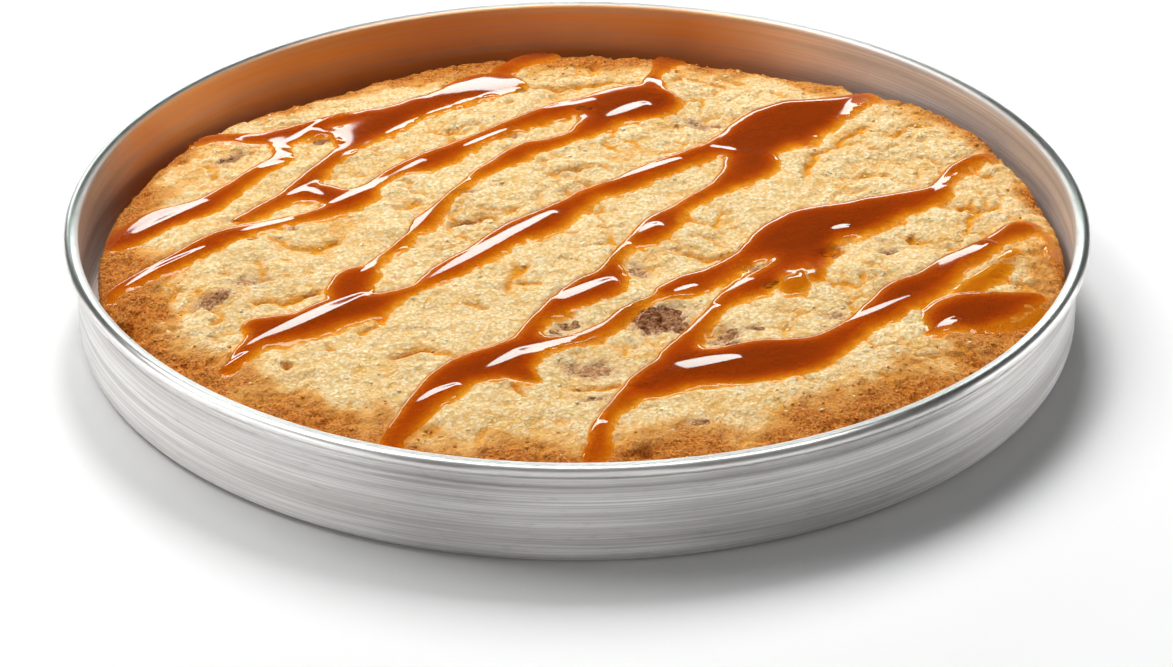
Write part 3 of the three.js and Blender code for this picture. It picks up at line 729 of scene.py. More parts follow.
def spun_aluminium():
    """Aluminium sheet spun over a former: fine lines run round it, with scuffs, and inside a baked-on tint
    that is partly a painted reflection.
    """
    material, tree, shader = new_material("spun aluminium sheet")
    place = add_node(tree, "ShaderNodeTexCoord").outputs["Object"]
    brushed, baked_tint_and_reflection, baked_film = [
        add_node(tree, "ShaderNodeAttribute", attribute_name=name).outputs["Fac"]
        for name in ("brushed", "baked_tint_and_reflection", "baked_film")
    ]
    # Each pattern is long across and short upwards, because spinning lines go right round: lines 0.4 mm
    # apart, bands of a few lines, and short scuffs.
    patterns = []
    for scale, detail, roughness in [
        ((9, 9, 2300), 4.0, 0.6),
        ((14, 14, 420), 3.0, 0.5),
        ((160, 160, 900), 5.0, 0.7),
    ]:
        stretched = add_node(tree, "ShaderNodeMapping", {"Vector": place, "Scale": scale}).outputs[0]
        inputs = {"Vector": stretched, "Scale": 1.0, "Detail": detail, "Roughness": roughness}
        patterns.append(add_node(tree, "ShaderNodeTexNoise", inputs).outputs[0])
    lines, bands, scuffs = patterns
    metal = colour_layer(tree, "#D2CFCC", "#F4F2F0", bands, 0.36, 0.64)
    lined = add_node(tree, "ShaderNodeMapRange", {0: lines, 1: 0.42, 2: 0.7, 3: 0.0, 4: 0.6}).outputs[0]
    lined = add_node(tree, "ShaderNodeMath", {0: brushed, 1: lined}, operation="MULTIPLY").outputs[0]
    metal = colour_layer(tree, metal, "#A5A29F", lined)
    metal = colour_layer(tree, metal, "#A29F9C", scuffs, 0.55, 0.75, 0.0, 0.35)
    # The inner wall behind the cookie has a brown tint, partly baked on from many bakings and partly a
    # painted reflection of the cookie's browned side.
    tint = add_node(tree, "ShaderNodeMapRange", {0: bands, 1: 0.3, 2: 0.65, 3: 0.7, 4: 1.0}).outputs[0]
    tint = add_node(tree, "ShaderNodeMath", {0: baked_tint_and_reflection, 1: tint}, operation="MULTIPLY").outputs[0]
    metal = colour_layer(tree, metal, "#F5A850", tint)
    tree.links.new(metal, shader.inputs["Base Color"])
    # A baked-on film leaves the whole inner wall with little of the metal's own shine.
    bare = add_node(tree, "ShaderNodeMapRange", {0: baked_film, 1: 0.0, 2: 1.0, 3: 1.0, 4: 0.17})
    tree.links.new(bare.outputs[0], shader.inputs["Metallic"])
    rough = add_node(tree, "ShaderNodeMapRange", {0: lines, 1: 0.3, 2: 0.7, 3: 0.4, 4: 0.55}).outputs[0]
    rough = add_node(tree, "ShaderNodeMix", {0: brushed, 2: 0.28, 3: rough}, data_type="FLOAT").outputs[0]
    tree.links.new(rough, shader.inputs["Roughness"])
    shader.inputs["Anisotropic"].default_value = 0.85
    shader.inputs["Anisotropic Rotation"].default_value = 0.25
    around = add_node(tree, "ShaderNodeTangent", direction_type="RADIAL", axis="Z")
    tree.links.new(around.outputs[0], shader.inputs["Tangent"])
    relief = add_node(tree, "ShaderNodeMapRange", {0: brushed, 1: 0.0, 2: 1.0, 3: 0.0, 4: 0.6}).outputs[0]
    bump = add_node(tree, "ShaderNodeBump", {"Strength": relief, "Distance": 0.00006, "Height": lines})
    tree.links.new(bump.outputs[0], shader.inputs["Normal"])
    return material


def baked_dough():
    """Sugar cookie dough, baked: sandy grains, pale on top, with a painted golden shade between them, and
    brown at the shoulder.
    """
    material, tree, shader = new_material("baked cookie dough")
    place = add_node(tree, "ShaderNodeTexCoord").outputs["Object"]
    crevice_shade, browning, chocolate, soaked = [
        add_node(tree, "ShaderNodeAttribute", attribute_name=name).outputs["Fac"]
        for name in ("crevice_shade", "browning", "chocolate", "soaked")
    ]
    # The grains' places are nudged by up to 0.3 mm, so that they aren't all round.
    nudge = add_node(tree, "ShaderNodeTexNoise", {"Vector": place, "Scale": 900.0, "Detail": 2.0})
    nudge = {0: nudge.outputs["Color"], 1: (0.0003, 0.0003, 0.0003), 2: place}
    nudged = add_node(tree, "ShaderNodeVectorMath", nudge, operation="MULTIPLY_ADD").outputs[0]
    # Grains of sugar and flour are close to 0.5 mm. They hold together in clumps of 1 mm, and fine cracks
    # wander between larger ones. The hollows between clumps and lumps and the fine cracks get a painted
    # golden shade.
    grain = add_node(tree, "ShaderNodeTexVoronoi", {"Vector": nudged, "Scale": 2000.0})
    kind = add_node(tree, "ShaderNodeSeparateColor", {0: grain.outputs["Color"]})
    clump = add_node(tree, "ShaderNodeTexVoronoi", {"Vector": nudged, "Scale": 900.0}).outputs["Distance"]
    lumps = {"Vector": place, "Scale": 300.0, "Detail": 5.0, "Roughness": 0.65}
    lumps = add_node(tree, "ShaderNodeTexNoise", lumps).outputs[0]
    patch = add_node(tree, "ShaderNodeTexNoise", {"Vector": place, "Scale": 90.0, "Detail": 4.0}).outputs[0]
    vein = {"Vector": place, "Scale": 110.0, "Detail": 3.0, "Roughness": 0.6}
    vein = add_node(tree, "ShaderNodeTexNoise", vein).outputs[0]
    vein = add_node(tree, "ShaderNodeMath", {0: vein, 1: 0.5}, operation="SUBTRACT").outputs[0]
    vein = add_node(tree, "ShaderNodeMath", {0: vein}, operation="ABSOLUTE").outputs[0]
    dough = colour_layer(tree, "#EED6A0", "#FDF1CE", kind.outputs[0])
    dough = colour_layer(tree, dough, "#E2BC7C", patch, 0.42, 0.68, 0.0, 0.4)
    dough = colour_layer(tree, dough, "#CF9A50", kind.outputs[1], 0.86, 0.9, 0.0, 0.5)
    # Painted shade, golden: between the clumps, in the hollows of the lumps and in the fine cracks.
    dough = colour_layer(tree, dough, "#E0B062", clump, 0.3, 0.75, 0.0, 0.75)
    dough = colour_layer(tree, dough, "#E2B05C", lumps, 0.5, 0.3, 0.0, 0.6)
    seam_shade = add_node(tree, "ShaderNodeMapRange", {0: vein, 1: 0.004, 2: 0.02, 3: 1.0, 4: 0.0}).outputs[0]
    cracked = add_node(tree, "ShaderNodeMapRange", {0: patch, 1: 0.48, 2: 0.6, 3: 0.0, 4: 0.85}).outputs[0]
    seam_shade = add_node(tree, "ShaderNodeMath", {0: seam_shade, 1: cracked}, operation="MULTIPLY").outputs[0]
    dough = colour_layer(tree, dough, "#D8A048", seam_shade)
    # Painted shade, golden, in cracks, holes, creases and hollows.
    dough = colour_layer(tree, dough, "#E4981E", crevice_shade)
    dough = colour_layer(tree, dough, "#E09C3E", browning, 0.0, 0.45, 0.0, 0.75)
    browned = add_node(tree, "ShaderNodeMapRange", {0: browning, 1: 0.3, 2: 0.95, 3: 0.0, 4: 1.0}).outputs[0]
    spots = {0: kind.outputs[2], 1: 0.0, 2: 1.0, 3: 0.5, 4: 1.2}
    spots = add_node(tree, "ShaderNodeMapRange", spots).outputs[0]
    browned = add_node(tree, "ShaderNodeMath", {0: browned, 1: spots}, operation="MULTIPLY").outputs[0]
    dough = colour_layer(tree, dough, colour_layer(tree, "#94420E", "#CE7C26", kind.outputs[0]), browned)
    smear = colour_layer(tree, "#9C6C48", "#DCB890", kind.outputs[1], 0.2, 0.9)
    dough = colour_layer(tree, dough, smear, chocolate, 0.1, 0.6)
    dough = colour_layer(tree, dough, "#5A2C16", chocolate, 0.65, 1.0, 0.0, 0.9)
    dough = colour_layer(tree, dough, "#BC7826", soaked)
    tree.links.new(dough, shader.inputs["Base Color"])
    shader.inputs["Roughness"].default_value = 0.8
    shader.inputs["Specular IOR Level"].default_value = 0.12
    shader.inputs["Subsurface Weight"].default_value = 0.15
    shader.inputs["Subsurface Radius"].default_value = (1.0, 0.5, 0.2)
    shader.inputs["Subsurface Scale"].default_value = 0.0013
    relief = {}
    for height, depth, invert in [(grain.outputs["Distance"], 0.00012, True), (clump, 0.00022, True),
                                  (lumps, 0.0011, False)]:
        inputs = {"Strength": 1.0, "Distance": depth, "Height": height, **relief}
        relief = {"Normal": add_node(tree, "ShaderNodeBump", inputs, invert=invert).outputs[0]}
    tree.links.new(relief["Normal"], shader.inputs["Normal"])
    return material


def boiled_caramel():
    """Sugar boiled with cream and butter: a clear glossy syrup, amber where thin and red-brown where deep."""
    material, tree, shader = new_material("boiled sugar caramel")
    # The depth that picks the colour is painted shallower on each strand's front right side, a painted glow
    # of light from behind.
    depth = add_node(tree, "ShaderNodeAttribute", attribute_name="depth").outputs["Fac"]
    share = add_node(tree, "ShaderNodeMath", {0: depth, 1: THICKEST}, operation="DIVIDE").outputs[0]
    ramp = add_node(tree, "ShaderNodeValToRGB", {0: share})
    stops = [(0.0, "#F4C048"), (0.14, "#E4A410"), (0.38, "#D47E08"), (0.7, "#B65006"), (1.0, "#8C3A04")]
    for position, _ in stops[1:-1]:
        ramp.color_ramp.elements.new(position)
    for element, (position, colour) in zip(ramp.color_ramp.elements, stops):
        element.position = position
        element.color = linear(colour)
    tree.links.new(ramp.outputs[0], shader.inputs["Base Color"])
    shader.inputs["Roughness"].default_value = 0.06
    shader.inputs["IOR"].default_value = 1.48
    shader.inputs["Transmission Weight"].default_value = 0.85
    return material


def milk_chocolate():
    """Milk chocolate that melted and set again: dull brown, under a pinkish grey bloom of fat and sugar."""
    material, tree, shader = new_material("bloomed milk chocolate")
    place = add_node(tree, "ShaderNodeTexCoord").outputs["Object"]
    cover = add_node(tree, "ShaderNodeAttribute", attribute_name="cover").outputs["Fac"]
    speck = add_node(tree, "ShaderNodeTexVoronoi", {"Vector": place, "Scale": 1500.0})
    kind = add_node(tree, "ShaderNodeSeparateColor", {0: speck.outputs["Color"]}).outputs[0]
    bloom = add_node(tree, "ShaderNodeTexNoise", {"Vector": place, "Scale": 400.0, "Detail": 3.0}).outputs[0]
    bloom = add_node(tree, "ShaderNodeMath", {0: bloom, 1: kind}, operation="ADD").outputs[0]
    bloom = add_node(tree, "ShaderNodeMath", {0: bloom, 1: cover}, operation="ADD").outputs[0]
    tree.links.new(colour_layer(tree, "#5E2C12", "#CC9A6C", bloom, 0.6, 2.1), shader.inputs["Base Color"])
    shader.inputs["Roughness"].default_value = 0.75
    shader.inputs["Specular IOR Level"].default_value = 0.06
    inputs = {"Strength": 1.0, "Distance": 0.0003, "Height": speck.outputs["Distance"]}
    bump = add_node(tree, "ShaderNodeBump", inputs, invert=True)
    tree.links.new(bump.outputs[0], shader.inputs["Normal"])
    return material


def baked_crumb(name, colour, other):
    """A grain of baked dough that has come loose: matt, and it lets a little light through."""
    material, tree, shader = new_material(name)
    place = add_node(tree, "ShaderNodeTexCoord").outputs["Object"]
    patch = add_node(tree, "ShaderNodeTexNoise", {"Vector": place, "Scale": 500.0, "Detail": 2.0}).outputs[0]
    tree.links.new(colour_layer(tree, colour, other, patch, 0.35, 0.65), shader.inputs["Base Color"])
    shader.inputs["Roughness"].default_value = 0.8
    shader.inputs["Specular IOR Level"].default_value = 0.15
    shader.inputs["Subsurface Weight"].default_value = 0.5
    shader.inputs["Subsurface Radius"].default_value = (1.0, 0.6, 0.3)
    shader.inputs["Subsurface Scale"].default_value = 0.001
    return material


# Pan

def turned_tree(material):
    """Geometry Nodes that turn a profile round the vertical axis and close it where it meets the axis."""
    tree = bpy.data.node_groups.new("turned sheet", "GeometryNodeTree")
    tree.interface.new_socket("Profile", in_out="INPUT", socket_type="NodeSocketGeometry")
    tree.interface.new_socket("Radius", in_out="INPUT", socket_type="NodeSocketFloat")
    tree.interface.new_socket("Segments", in_out="INPUT", socket_type="NodeSocketInt")
    tree.interface.new_socket("Turned", in_out="OUTPUT", socket_type="NodeSocketGeometry")
    enter = add_node(tree, "NodeGroupInput")
    circle = add_node(tree, "GeometryNodeCurvePrimitiveCircle",
                      {"Resolution": enter.outputs["Segments"], "Radius": enter.outputs["Radius"]})
    upright = add_node(tree, "GeometryNodeSetCurveNormal", {"Curve": circle.outputs[0]}, mode="Z_UP")
    swept = add_node(tree, "GeometryNodeCurveToMesh",
                     {"Curve": upright.outputs[0], "Profile Curve": enter.outputs["Profile"]})
    closed = add_node(tree, "GeometryNodeMergeByDistance", {"Geometry": swept.outputs[0], "Distance": 1e-6})
    coated = add_node(tree, "GeometryNodeSetMaterial", {"Geometry": closed.outputs[0], "Material": material})
    add_node(tree, "NodeGroupOutput", {0: coated.outputs[0]})
    return tree


def arc(x, z, radius, start, end, steps):
    angles = np.radians(np.linspace(start, end, steps + 1))
    return [(x + radius * math.cos(a), z + radius * math.sin(a)) for a in angles]


def pan_profile():
    """Radius and height along the sheet: under the floor, up outside, round the bead and down inside."""
    body = BODY_RADIUS
    inner = body - SHEET
    inner_curve = FOOT_CURVE - SHEET
    neck = PAN_HEIGHT - 2 * BEAD_RADIUS - NECK_HEIGHT
    bead = (RIM_RADIUS - BEAD_RADIUS, PAN_HEIGHT - BEAD_RADIUS)
    profile = [(0, 0), (60, 0), (110, 0)]
    profile += arc(body - FOOT_CURVE, FOOT_CURVE, FOOT_CURVE, -90, 0, 8)
    profile += [(body, z) for z in np.linspace(FOOT_CURVE, neck - 0.35, 8)[1:]]
    # The wall steps in to the neck over about half a millimetre.
    profile += [(body - 0.08, neck - 0.1), (body - 0.28, neck + 0.1), (body - NECK_INSET, neck + 0.45)]
    profile += [(body - NECK_INSET, neck + 1.4), (body - NECK_INSET, neck + NECK_HEIGHT - 0.4)]
    profile += arc(*bead, BEAD_RADIUS, -118, 118, 20)
    # Inside, the bead's roundness runs out just under its top.
    profile += [(inner + 0.35, PAN_HEIGHT - 0.32), (inner + 0.08, PAN_HEIGHT - 0.75)]
    profile += [(inner, PAN_HEIGHT - 1.3)]
    profile += [(inner, z) for z in np.linspace(PAN_HEIGHT - 2.5, FOOT_CURVE + 1, 8)]
    profile += arc(inner - inner_curve, FOOT_CURVE, inner_curve, 0, -90, 5)
    profile += [(110, SHEET), (60, SHEET), (0, SHEET)]
    return profile


def make_pan(material):
    """The pan: its profile turned round, with its brushed parts and its baked-on tint and painted reflection
    painted.
    """
    curve = bpy.data.curves.new("pan_profile", "CURVE")
    curve.dimensions = "3D"
    spline = curve.splines.new("POLY")
    profile = pan_profile()
    spline.points.add(len(profile) - 1)
    # The profile's own x runs outwards from the circle it is swept round, and its y downwards.
    for point, (radius, height) in zip(spline.points, profile):
        point.co = ((radius - RIM_RADIUS) * MM, -height * MM, 0, 1)
    source = new_object("pan_profile", curve)
    sizes = {"Radius": RIM_RADIUS * MM, "Segments": PAN_SEGMENTS}
    pan = grown_mesh("spun_pan", source, turned_tree(material), sizes)
    bpy.data.objects.remove(source)
    x, y, z = point_places(pan.data)
    angle = np.degrees(np.arctan2(y, x))
    past_foot = np.maximum(np.hypot(x, y) - (BODY_RADIUS - FOOT_CURVE), 0)
    inside = np.hypot(past_foot, np.maximum(FOOT_CURVE - z, 0)) < FOOT_CURVE - 0.5 * SHEET
    # Behind the cookie the inner wall gets a tint that is partly baked on and partly a painted reflection of
    # the cookie.
    behind = smooth_step(*TINT_STARTS, angle) * (1 - smooth_step(*TINT_ENDS, angle))
    paint_points(pan.data, "baked_tint_and_reflection", np.where(inside, 0.06 + 0.91 * behind, 0))
    paint_points(pan.data, "baked_film", np.where(inside, 1 - 0.4 * behind, 0))
    paint_points(pan.data, "brushed", np.where(inside, 1, 1 - smooth_step(*BRUSHING_ENDS, z)))
    return pan


# Cookie

def chip_mask(x, y, chip, grow=1.0):
    """One over a chip's top, falling to nothing past its edge."""
    cx, cy, length, width, turn, _ = chip
    a = math.radians(turn)
    u = (x - cx) * math.cos(a) + (y - cy) * math.sin(a)
    v = (y - cy) * math.cos(a) - (x - cx) * math.sin(a)
    return bell(np.hypot(2 * u / length, 2 * v / width), grow)


def crust_relief(x, y, wx, wy, shoulder):
    """Height of the crust's fine forms, and how far each point is down in a crease between lumps. wx and wy
    are nudged places, which make the forms ragged."""
    rough_patch = bumps(x, y, 27, 71) + 0.35 * bumps(x, y, 11, 72) + 0.5 * shoulder
    rough_patch = smooth_step(-0.15, 0.55, rough_patch)
    nearest, gap, lot = cells(wx, wy, LUMP_SIZE, 51)
    crease = (1 - smooth_step(0, 0.2, gap)) * smooth_step(-0.35, 0.35, bumps(x, y, 6.1, 74))
    lumps = LUMP_RISE * (0.5 - nearest) * (0.5 + rough_patch) - CREASE_DEPTH * crease * rough_patch
    nearest, small_gap, _ = cells(wx, wy, PEBBLE_SIZE, 55)
    small_crease = 1 - smooth_step(0, 0.3, small_gap)
    pebbles = PEBBLE_RISE * (0.45 - nearest) - 0.12 * small_crease * (0.4 + rough_patch + 0.8 * shoulder)
    grain = GRAIN_RISE * fractal(x, y, GRAIN_SIZE, 3, 31) * (1 + 0.6 * shoulder)
    # Plates of crust lie a little higher or lower than their neighbours.
    plate_x = x + 2.2 * bumps(x, y, 5.3, 45)
    plate_y = y + 2.2 * bumps(x, y, 5.3, 46)
    _, plate_gap, plate_lot = cells(plate_x, plate_y, PLATE_SIZE, 61)
    plates = PLATE_RISE * plate_lot * smooth_step(0, 0.16, plate_gap) + 0.2 * lot * smooth_step(0, 0.2, gap)
    return lumps + pebbles * (1 + 0.5 * shoulder) + grain + plates, crease * rough_patch


def crust_openings(x, y, wx, wy):
    """How far each point is in a crack that is listed, in one that wanders, and in a hole."""
    wander = np.abs(bumps(wx, wy, 17, 81) + 0.5 * bumps(wx, wy, 8, 82))
    stray = (1 - smooth_step(0.0, 0.075, wander)) * smooth_step(0.1, 0.6, bumps(x, y, 31, 83))
    placed = np.zeros_like(x)
    for path in CRACKS:
        distance = distance_to_path(wx, wy, path)
        placed = np.maximum(placed, 0.35 * bell(distance, 2.6) + bell(distance, 0.85))
    for path in CREVICES:
        placed = np.maximum(placed, 0.9 * bell(distance_to_path(wx, wy, path), 0.9))
    holes = np.zeros_like(x)
    for hx, hy, radius, depth in HOLES:
        holes = np.maximum(holes, depth * (1 - smooth_step(0.5, 1.25, np.hypot(wx - hx, wy - hy) / radius)))
    return placed, stray, holes


def crust_browning(x, y):
    """How brown the crust is. It browned most at the front, and hardly at the right and the back left."""
    angle, share = polar(x, y)
    turned = np.degrees(angle)
    start = 0.85 + 0.02 * np.sin(angle) - 0.06 * bell(turned + 80, 42) - 0.05 * bell(turned - 95, 22)
    start = start + 0.09 * bell(turned - 22, 38) + 0.07 * bell(turned - 150, 28)
    uneven = 0.05 * bumps(x, y, 13, 91) + 0.03 * bumps(x, y, 4, 92)
    return smooth_step(start - 0.02, start + 0.12, share + uneven)


def crust_surface(x, y, under):
    """Height of the baked crust, with its painted crevice shade, browning, soaked dough and chocolate smear.
    under is how far inside the caramel's outline each point is."""
    _, share = polar(x, y)
    wx = x + 1.4 * bumps(x, y, 4.7, 41) + 0.85 * bumps(x, y, 1.9, 43)
    wy = y + 1.4 * bumps(x, y, 4.7, 42) + 0.85 * bumps(x, y, 1.9, 44)
    relief, crease = crust_relief(x, y, wx, wy, smooth_step(0.72, 0.96, share))
    placed, stray, holes = crust_openings(x, y, wx, wy)
    chips = np.zeros_like(x)
    smear = np.zeros_like(x)
    for chip in CHIPS:
        chips = np.maximum(chips, chip_mask(wx, wy, chip))
        smear = np.maximum(smear, chip_mask(wx, wy, chip, 1.25) * (1 - 0.35 * chip[5]))
    smear = np.clip(smear * (0.75 + 0.5 * bumps(x, y, 2.1, 96)), 0, 1)
    # The crumb is flattened under the caramel.
    cover = smooth_step(-0.6, 1.2, under)
    relief = relief * (1 - 0.75 * cover)
    depth = 1.1 * placed + 0.7 * stray * (1 - cover) + holes + 0.75 * chips
    crags = SMALL_CRAG * bumps(x, y, SMALL_SPACING, 23)
    height = bed_height(x, y) + crags + relief - depth - 0.25 * cover
    # Painted shade: golden in cracks, holes, creases and the hollows of the relief.
    crevice_shade = np.clip(1.15 * placed + 0.75 * stray + 0.9 * holes + 0.55 * crease
                      + 0.6 * smooth_step(0.2, 0.75, -relief) - 0.05, 0, 1)
    soaked = 0.45 * smooth_step(-0.1, 0.3, under) + 0.55 * smooth_step(0.4, 3, under)
    painted = {"crevice_shade": crevice_shade, "browning": crust_browning(x, y), "soaked": soaked, "chocolate": smear}
    return height, painted


def make_crust(material, grid, outline):
    """The cookie: rings of 6, 12, 18 and more points over the top, then the baked side and the base."""
    ring_angles = [np.zeros(1)]
    ring_shares = [np.zeros(1)]
    for ring in range(1, COOKIE_RINGS + 1):
        count = 6 * ring
        ring_angles.append(2 * math.pi * np.arange(count) / count)
        ring_shares.append(np.full(count, ring / COOKIE_RINGS))
    angle = np.concatenate(ring_angles)
    share = np.concatenate(ring_shares)
    x = COOKIE_X + share * outline_radius(angle) * np.cos(angle)
    y = COOKIE_Y + share * outline_radius(angle) * np.sin(angle)
    height, painted = crust_surface(x, y, grid.at(outline, x, y))
    points = [np.stack([x, y, height], axis=1)]
    first = [0] + [1 + 3 * ring * (ring - 1) for ring in range(1, COOKIE_RINGS + 2)]
    faces = []
    for ring in range(1, COOKIE_RINGS + 1):
        count = 6 * ring
        inner_count = max(count - 6, 1)
        for sector in range(6):
            j = np.arange(ring)
            outer = first[ring] + (sector * ring + j) % count
            after = first[ring] + (sector * ring + j + 1) % count
            inner = first[ring - 1] + (sector * (ring - 1) + j) % inner_count
            inner_after = first[ring - 1] + (sector * (ring - 1) + j + 1) % inner_count
            faces += np.stack([outer, after, inner], axis=1).tolist()
            faces += np.stack([inner, after, inner_after], axis=1)[:-1].tolist()
    count = 6 * COOKIE_RINGS
    angle = 2 * math.pi * np.arange(count) / count
    ring = np.arange(count)
    after = (ring + 1) % count
    top = height[-count:]
    upper = first[COOKIE_RINGS]
    total = len(x)
    for side_share, drop in BAKED_SIDE:
        rough = 0.004 * noise(angle * 40, np.full(count, 9.0 * drop), 97) * (drop < 1)
        radius = (side_share - np.abs(rough)) * outline_radius(angle)
        x = COOKIE_X + radius * np.cos(angle)
        y = COOKIE_Y + radius * np.sin(angle)
        points.append(np.stack([x, y, top + (COOKIE_FLOOR - top) * drop], axis=1))
        faces += np.stack([total + ring, total + after, upper + after, upper + ring], axis=1).tolist()
        upper = total
        total += count
    points.append(np.array([[COOKIE_X, COOKIE_Y, COOKIE_FLOOR]]))
    faces += np.stack([upper + after, upper + ring, np.full(count, total)], axis=1).tolist()
    # The side and the base are brown all over.
    added = len(BAKED_SIDE) * count + 1
    for key, values in painted.items():
        painted[key] = np.append(values, np.full(added, 1.0 if key == "browning" else 0.0))
    return plain_mesh("cookie_crust", np.vstack(points), faces, material, painted)


# Caramel

def layer_faces(keep):
    """Faces of a closed skin over the blocks of a grid that keep marks, with four cells to a block on top and
    one below. Top points are numbered row by row over the fine grid, and the points below follow, over the
    coarse one."""
    rows, columns = keep.shape
    fine = 2 * columns + 1
    coarse = columns + 1
    below = fine * (2 * rows + 1)

    def top_at(i, j):
        return i * fine + j

    def low_at(i, j):
        return below + i * coarse + j

    faces = []
    i, j = np.nonzero(keep)
    for di in (0, 1):
        for dj in (0, 1):
            a = 2 * i + di
            b = 2 * j + dj
            corners = [top_at(a, b), top_at(a, b + 1), top_at(a + 1, b + 1), top_at(a + 1, b)]
            faces += np.stack(corners, axis=1).tolist()
    corners = [low_at(i, j), low_at(i + 1, j), low_at(i + 1, j + 1), low_at(i, j + 1)]
    faces += np.stack(corners, axis=1).tolist()
    padded = np.pad(keep, 1)
    # Each side of a block: the step to its neighbour there, and the corners that the side runs between.
    sides = [
        (-1, 0, (0, 0), (0, 1)),
        (0, 1, (0, 1), (1, 1)),
        (1, 0, (1, 1), (1, 0)),
        (0, -1, (1, 0), (0, 0)),
    ]
    for di, dj, start, end in sides:
        i, j = np.nonzero(keep & ~padded[1 + di : 1 + di + rows, 1 + dj : 1 + dj + columns])
        si = i + start[0]
        sj = j + start[1]
        ei = i + end[0]
        ej = j + end[1]
        side = [top_at(2 * si, 2 * sj), low_at(si, sj), low_at(ei, ej), top_at(2 * ei, 2 * ej)]
        faces += np.stack(side + [top_at(si + ei, sj + ej)], axis=1).tolist()
    return faces


def only_used(points, faces, values):
    """Points, faces and values with the points that no face uses left out."""
    used = np.zeros(len(points), bool)
    used[np.concatenate([np.array(face) for face in faces])] = True
    place = np.cumsum(used) - 1
    return points[used], [[int(place[k]) for k in face] for face in faces], values[used]


def make_caramel(material, grid, outline, bed, thickness, tint):
    """The caramel as one skin that stands off the crust and ends under the crumb all round."""
    slope_y, slope_x = np.gradient(bed, CARAMEL_PITCH)
    length = np.sqrt(1 + slope_x**2 + slope_y**2)
    outside = np.maximum(-outline, 0)
    rise = thickness - SINK - 1.3 * outside
    x = grid.x - rise * slope_x / length
    y = grid.y - rise * slope_y / length
    top = np.stack([x, y, bed + rise / length], axis=-1)
    low = np.stack([grid.x, grid.y, bed - 2.2 - 0.5 * outside], axis=-1)[::2, ::2]
    _, share = polar(grid.x, grid.y)
    wet = (outline > -MARGIN) & (share < 0.992)
    # A block is kept if one of its points is wet and all its corners are on the cookie.
    near = slice(0, -1, 2)
    middle = slice(1, None, 2)
    far = slice(2, None, 2)
    keep = np.logical_or.reduce([wet[rows, columns] for rows in (near, middle) for columns in (near, middle)])
    outermost = np.maximum.reduce([share[rows, columns] for rows in (near, far) for columns in (near, far)])
    keep &= outermost < 0.998
    points = np.vstack([top.reshape(-1, 3), low.reshape(-1, 3)])
    # The depth that colours it carries the painted glow on each strand's front right side.
    depth = np.concatenate([tint.reshape(-1), tint[::2, ::2].reshape(-1)])
    points, faces, depth = only_used(points, layer_faces(keep), depth)
    caramel = plain_mesh("salted_caramel", points, faces, material, {"depth": depth})
    # Light passes through it to the crumb underneath, so it throws no shadow.
    caramel.visible_shadow = False
    return caramel


# Chips

def make_chips(material, grid, outline):
    """The tops of the chips. Each follows the crust, and stands out of it or dips under it here and there."""
    points = []
    faces = []
    covers = []
    ring = np.repeat(np.arange(CHIP_RINGS + 1), CHIP_STEPS)
    angle = np.tile(2 * math.pi * np.arange(CHIP_STEPS) / CHIP_STEPS, CHIP_RINGS + 1)
    fall = np.minimum(ring / (CHIP_RINGS - 1), 1)
    for number, (cx, cy, length, width, turn, cover) in enumerate(CHIPS):
        a = math.radians(turn)
        wobble = 1 + 0.2 * noise(1.6 * np.cos(angle) + 3 * number, 1.6 * np.sin(angle) + 5, 45)
        u = 0.55 * length * fall * wobble * np.cos(angle)
        v = 0.55 * width * fall * wobble * np.sin(angle)
        x = cx + u * math.cos(a) - v * math.sin(a)
        y = cy + u * math.sin(a) + v * math.cos(a)
        ground, _ = crust_surface(x, y, grid.at(outline, x, y))
        proud = 0.85 - 0.8 * cover - fall**2
        proud = proud + 0.42 * bumps(x, y, 1.5, 46) + 0.2 * bumps(x, y, 0.8, 47)
        z = ground + np.where(ring == CHIP_RINGS, -1.6, proud)
        # The innermost ring is one point, so the others there are left out.
        base = len(points)
        points += np.stack([x, y, z], axis=1)[CHIP_STEPS - 1 :].tolist()
        covers += [cover] * (len(x) - CHIP_STEPS + 1)
        for k in range(CHIP_STEPS):
            after = (k + 1) % CHIP_STEPS
            faces.append([base, base + 1 + k, base + 1 + after])
            for low in range(CHIP_RINGS - 1):
                high = base + 1 + low * CHIP_STEPS
                faces.append([high + k, high + CHIP_STEPS + k, high + CHIP_STEPS + after, high + after])
        last = base + 1 + (CHIP_RINGS - 1) * CHIP_STEPS
        faces.append([last + k for k in reversed(range(CHIP_STEPS))])
    return plain_mesh("milk_chocolate_chips", np.array(points), faces, material, {"cover": covers})


# Crumbs

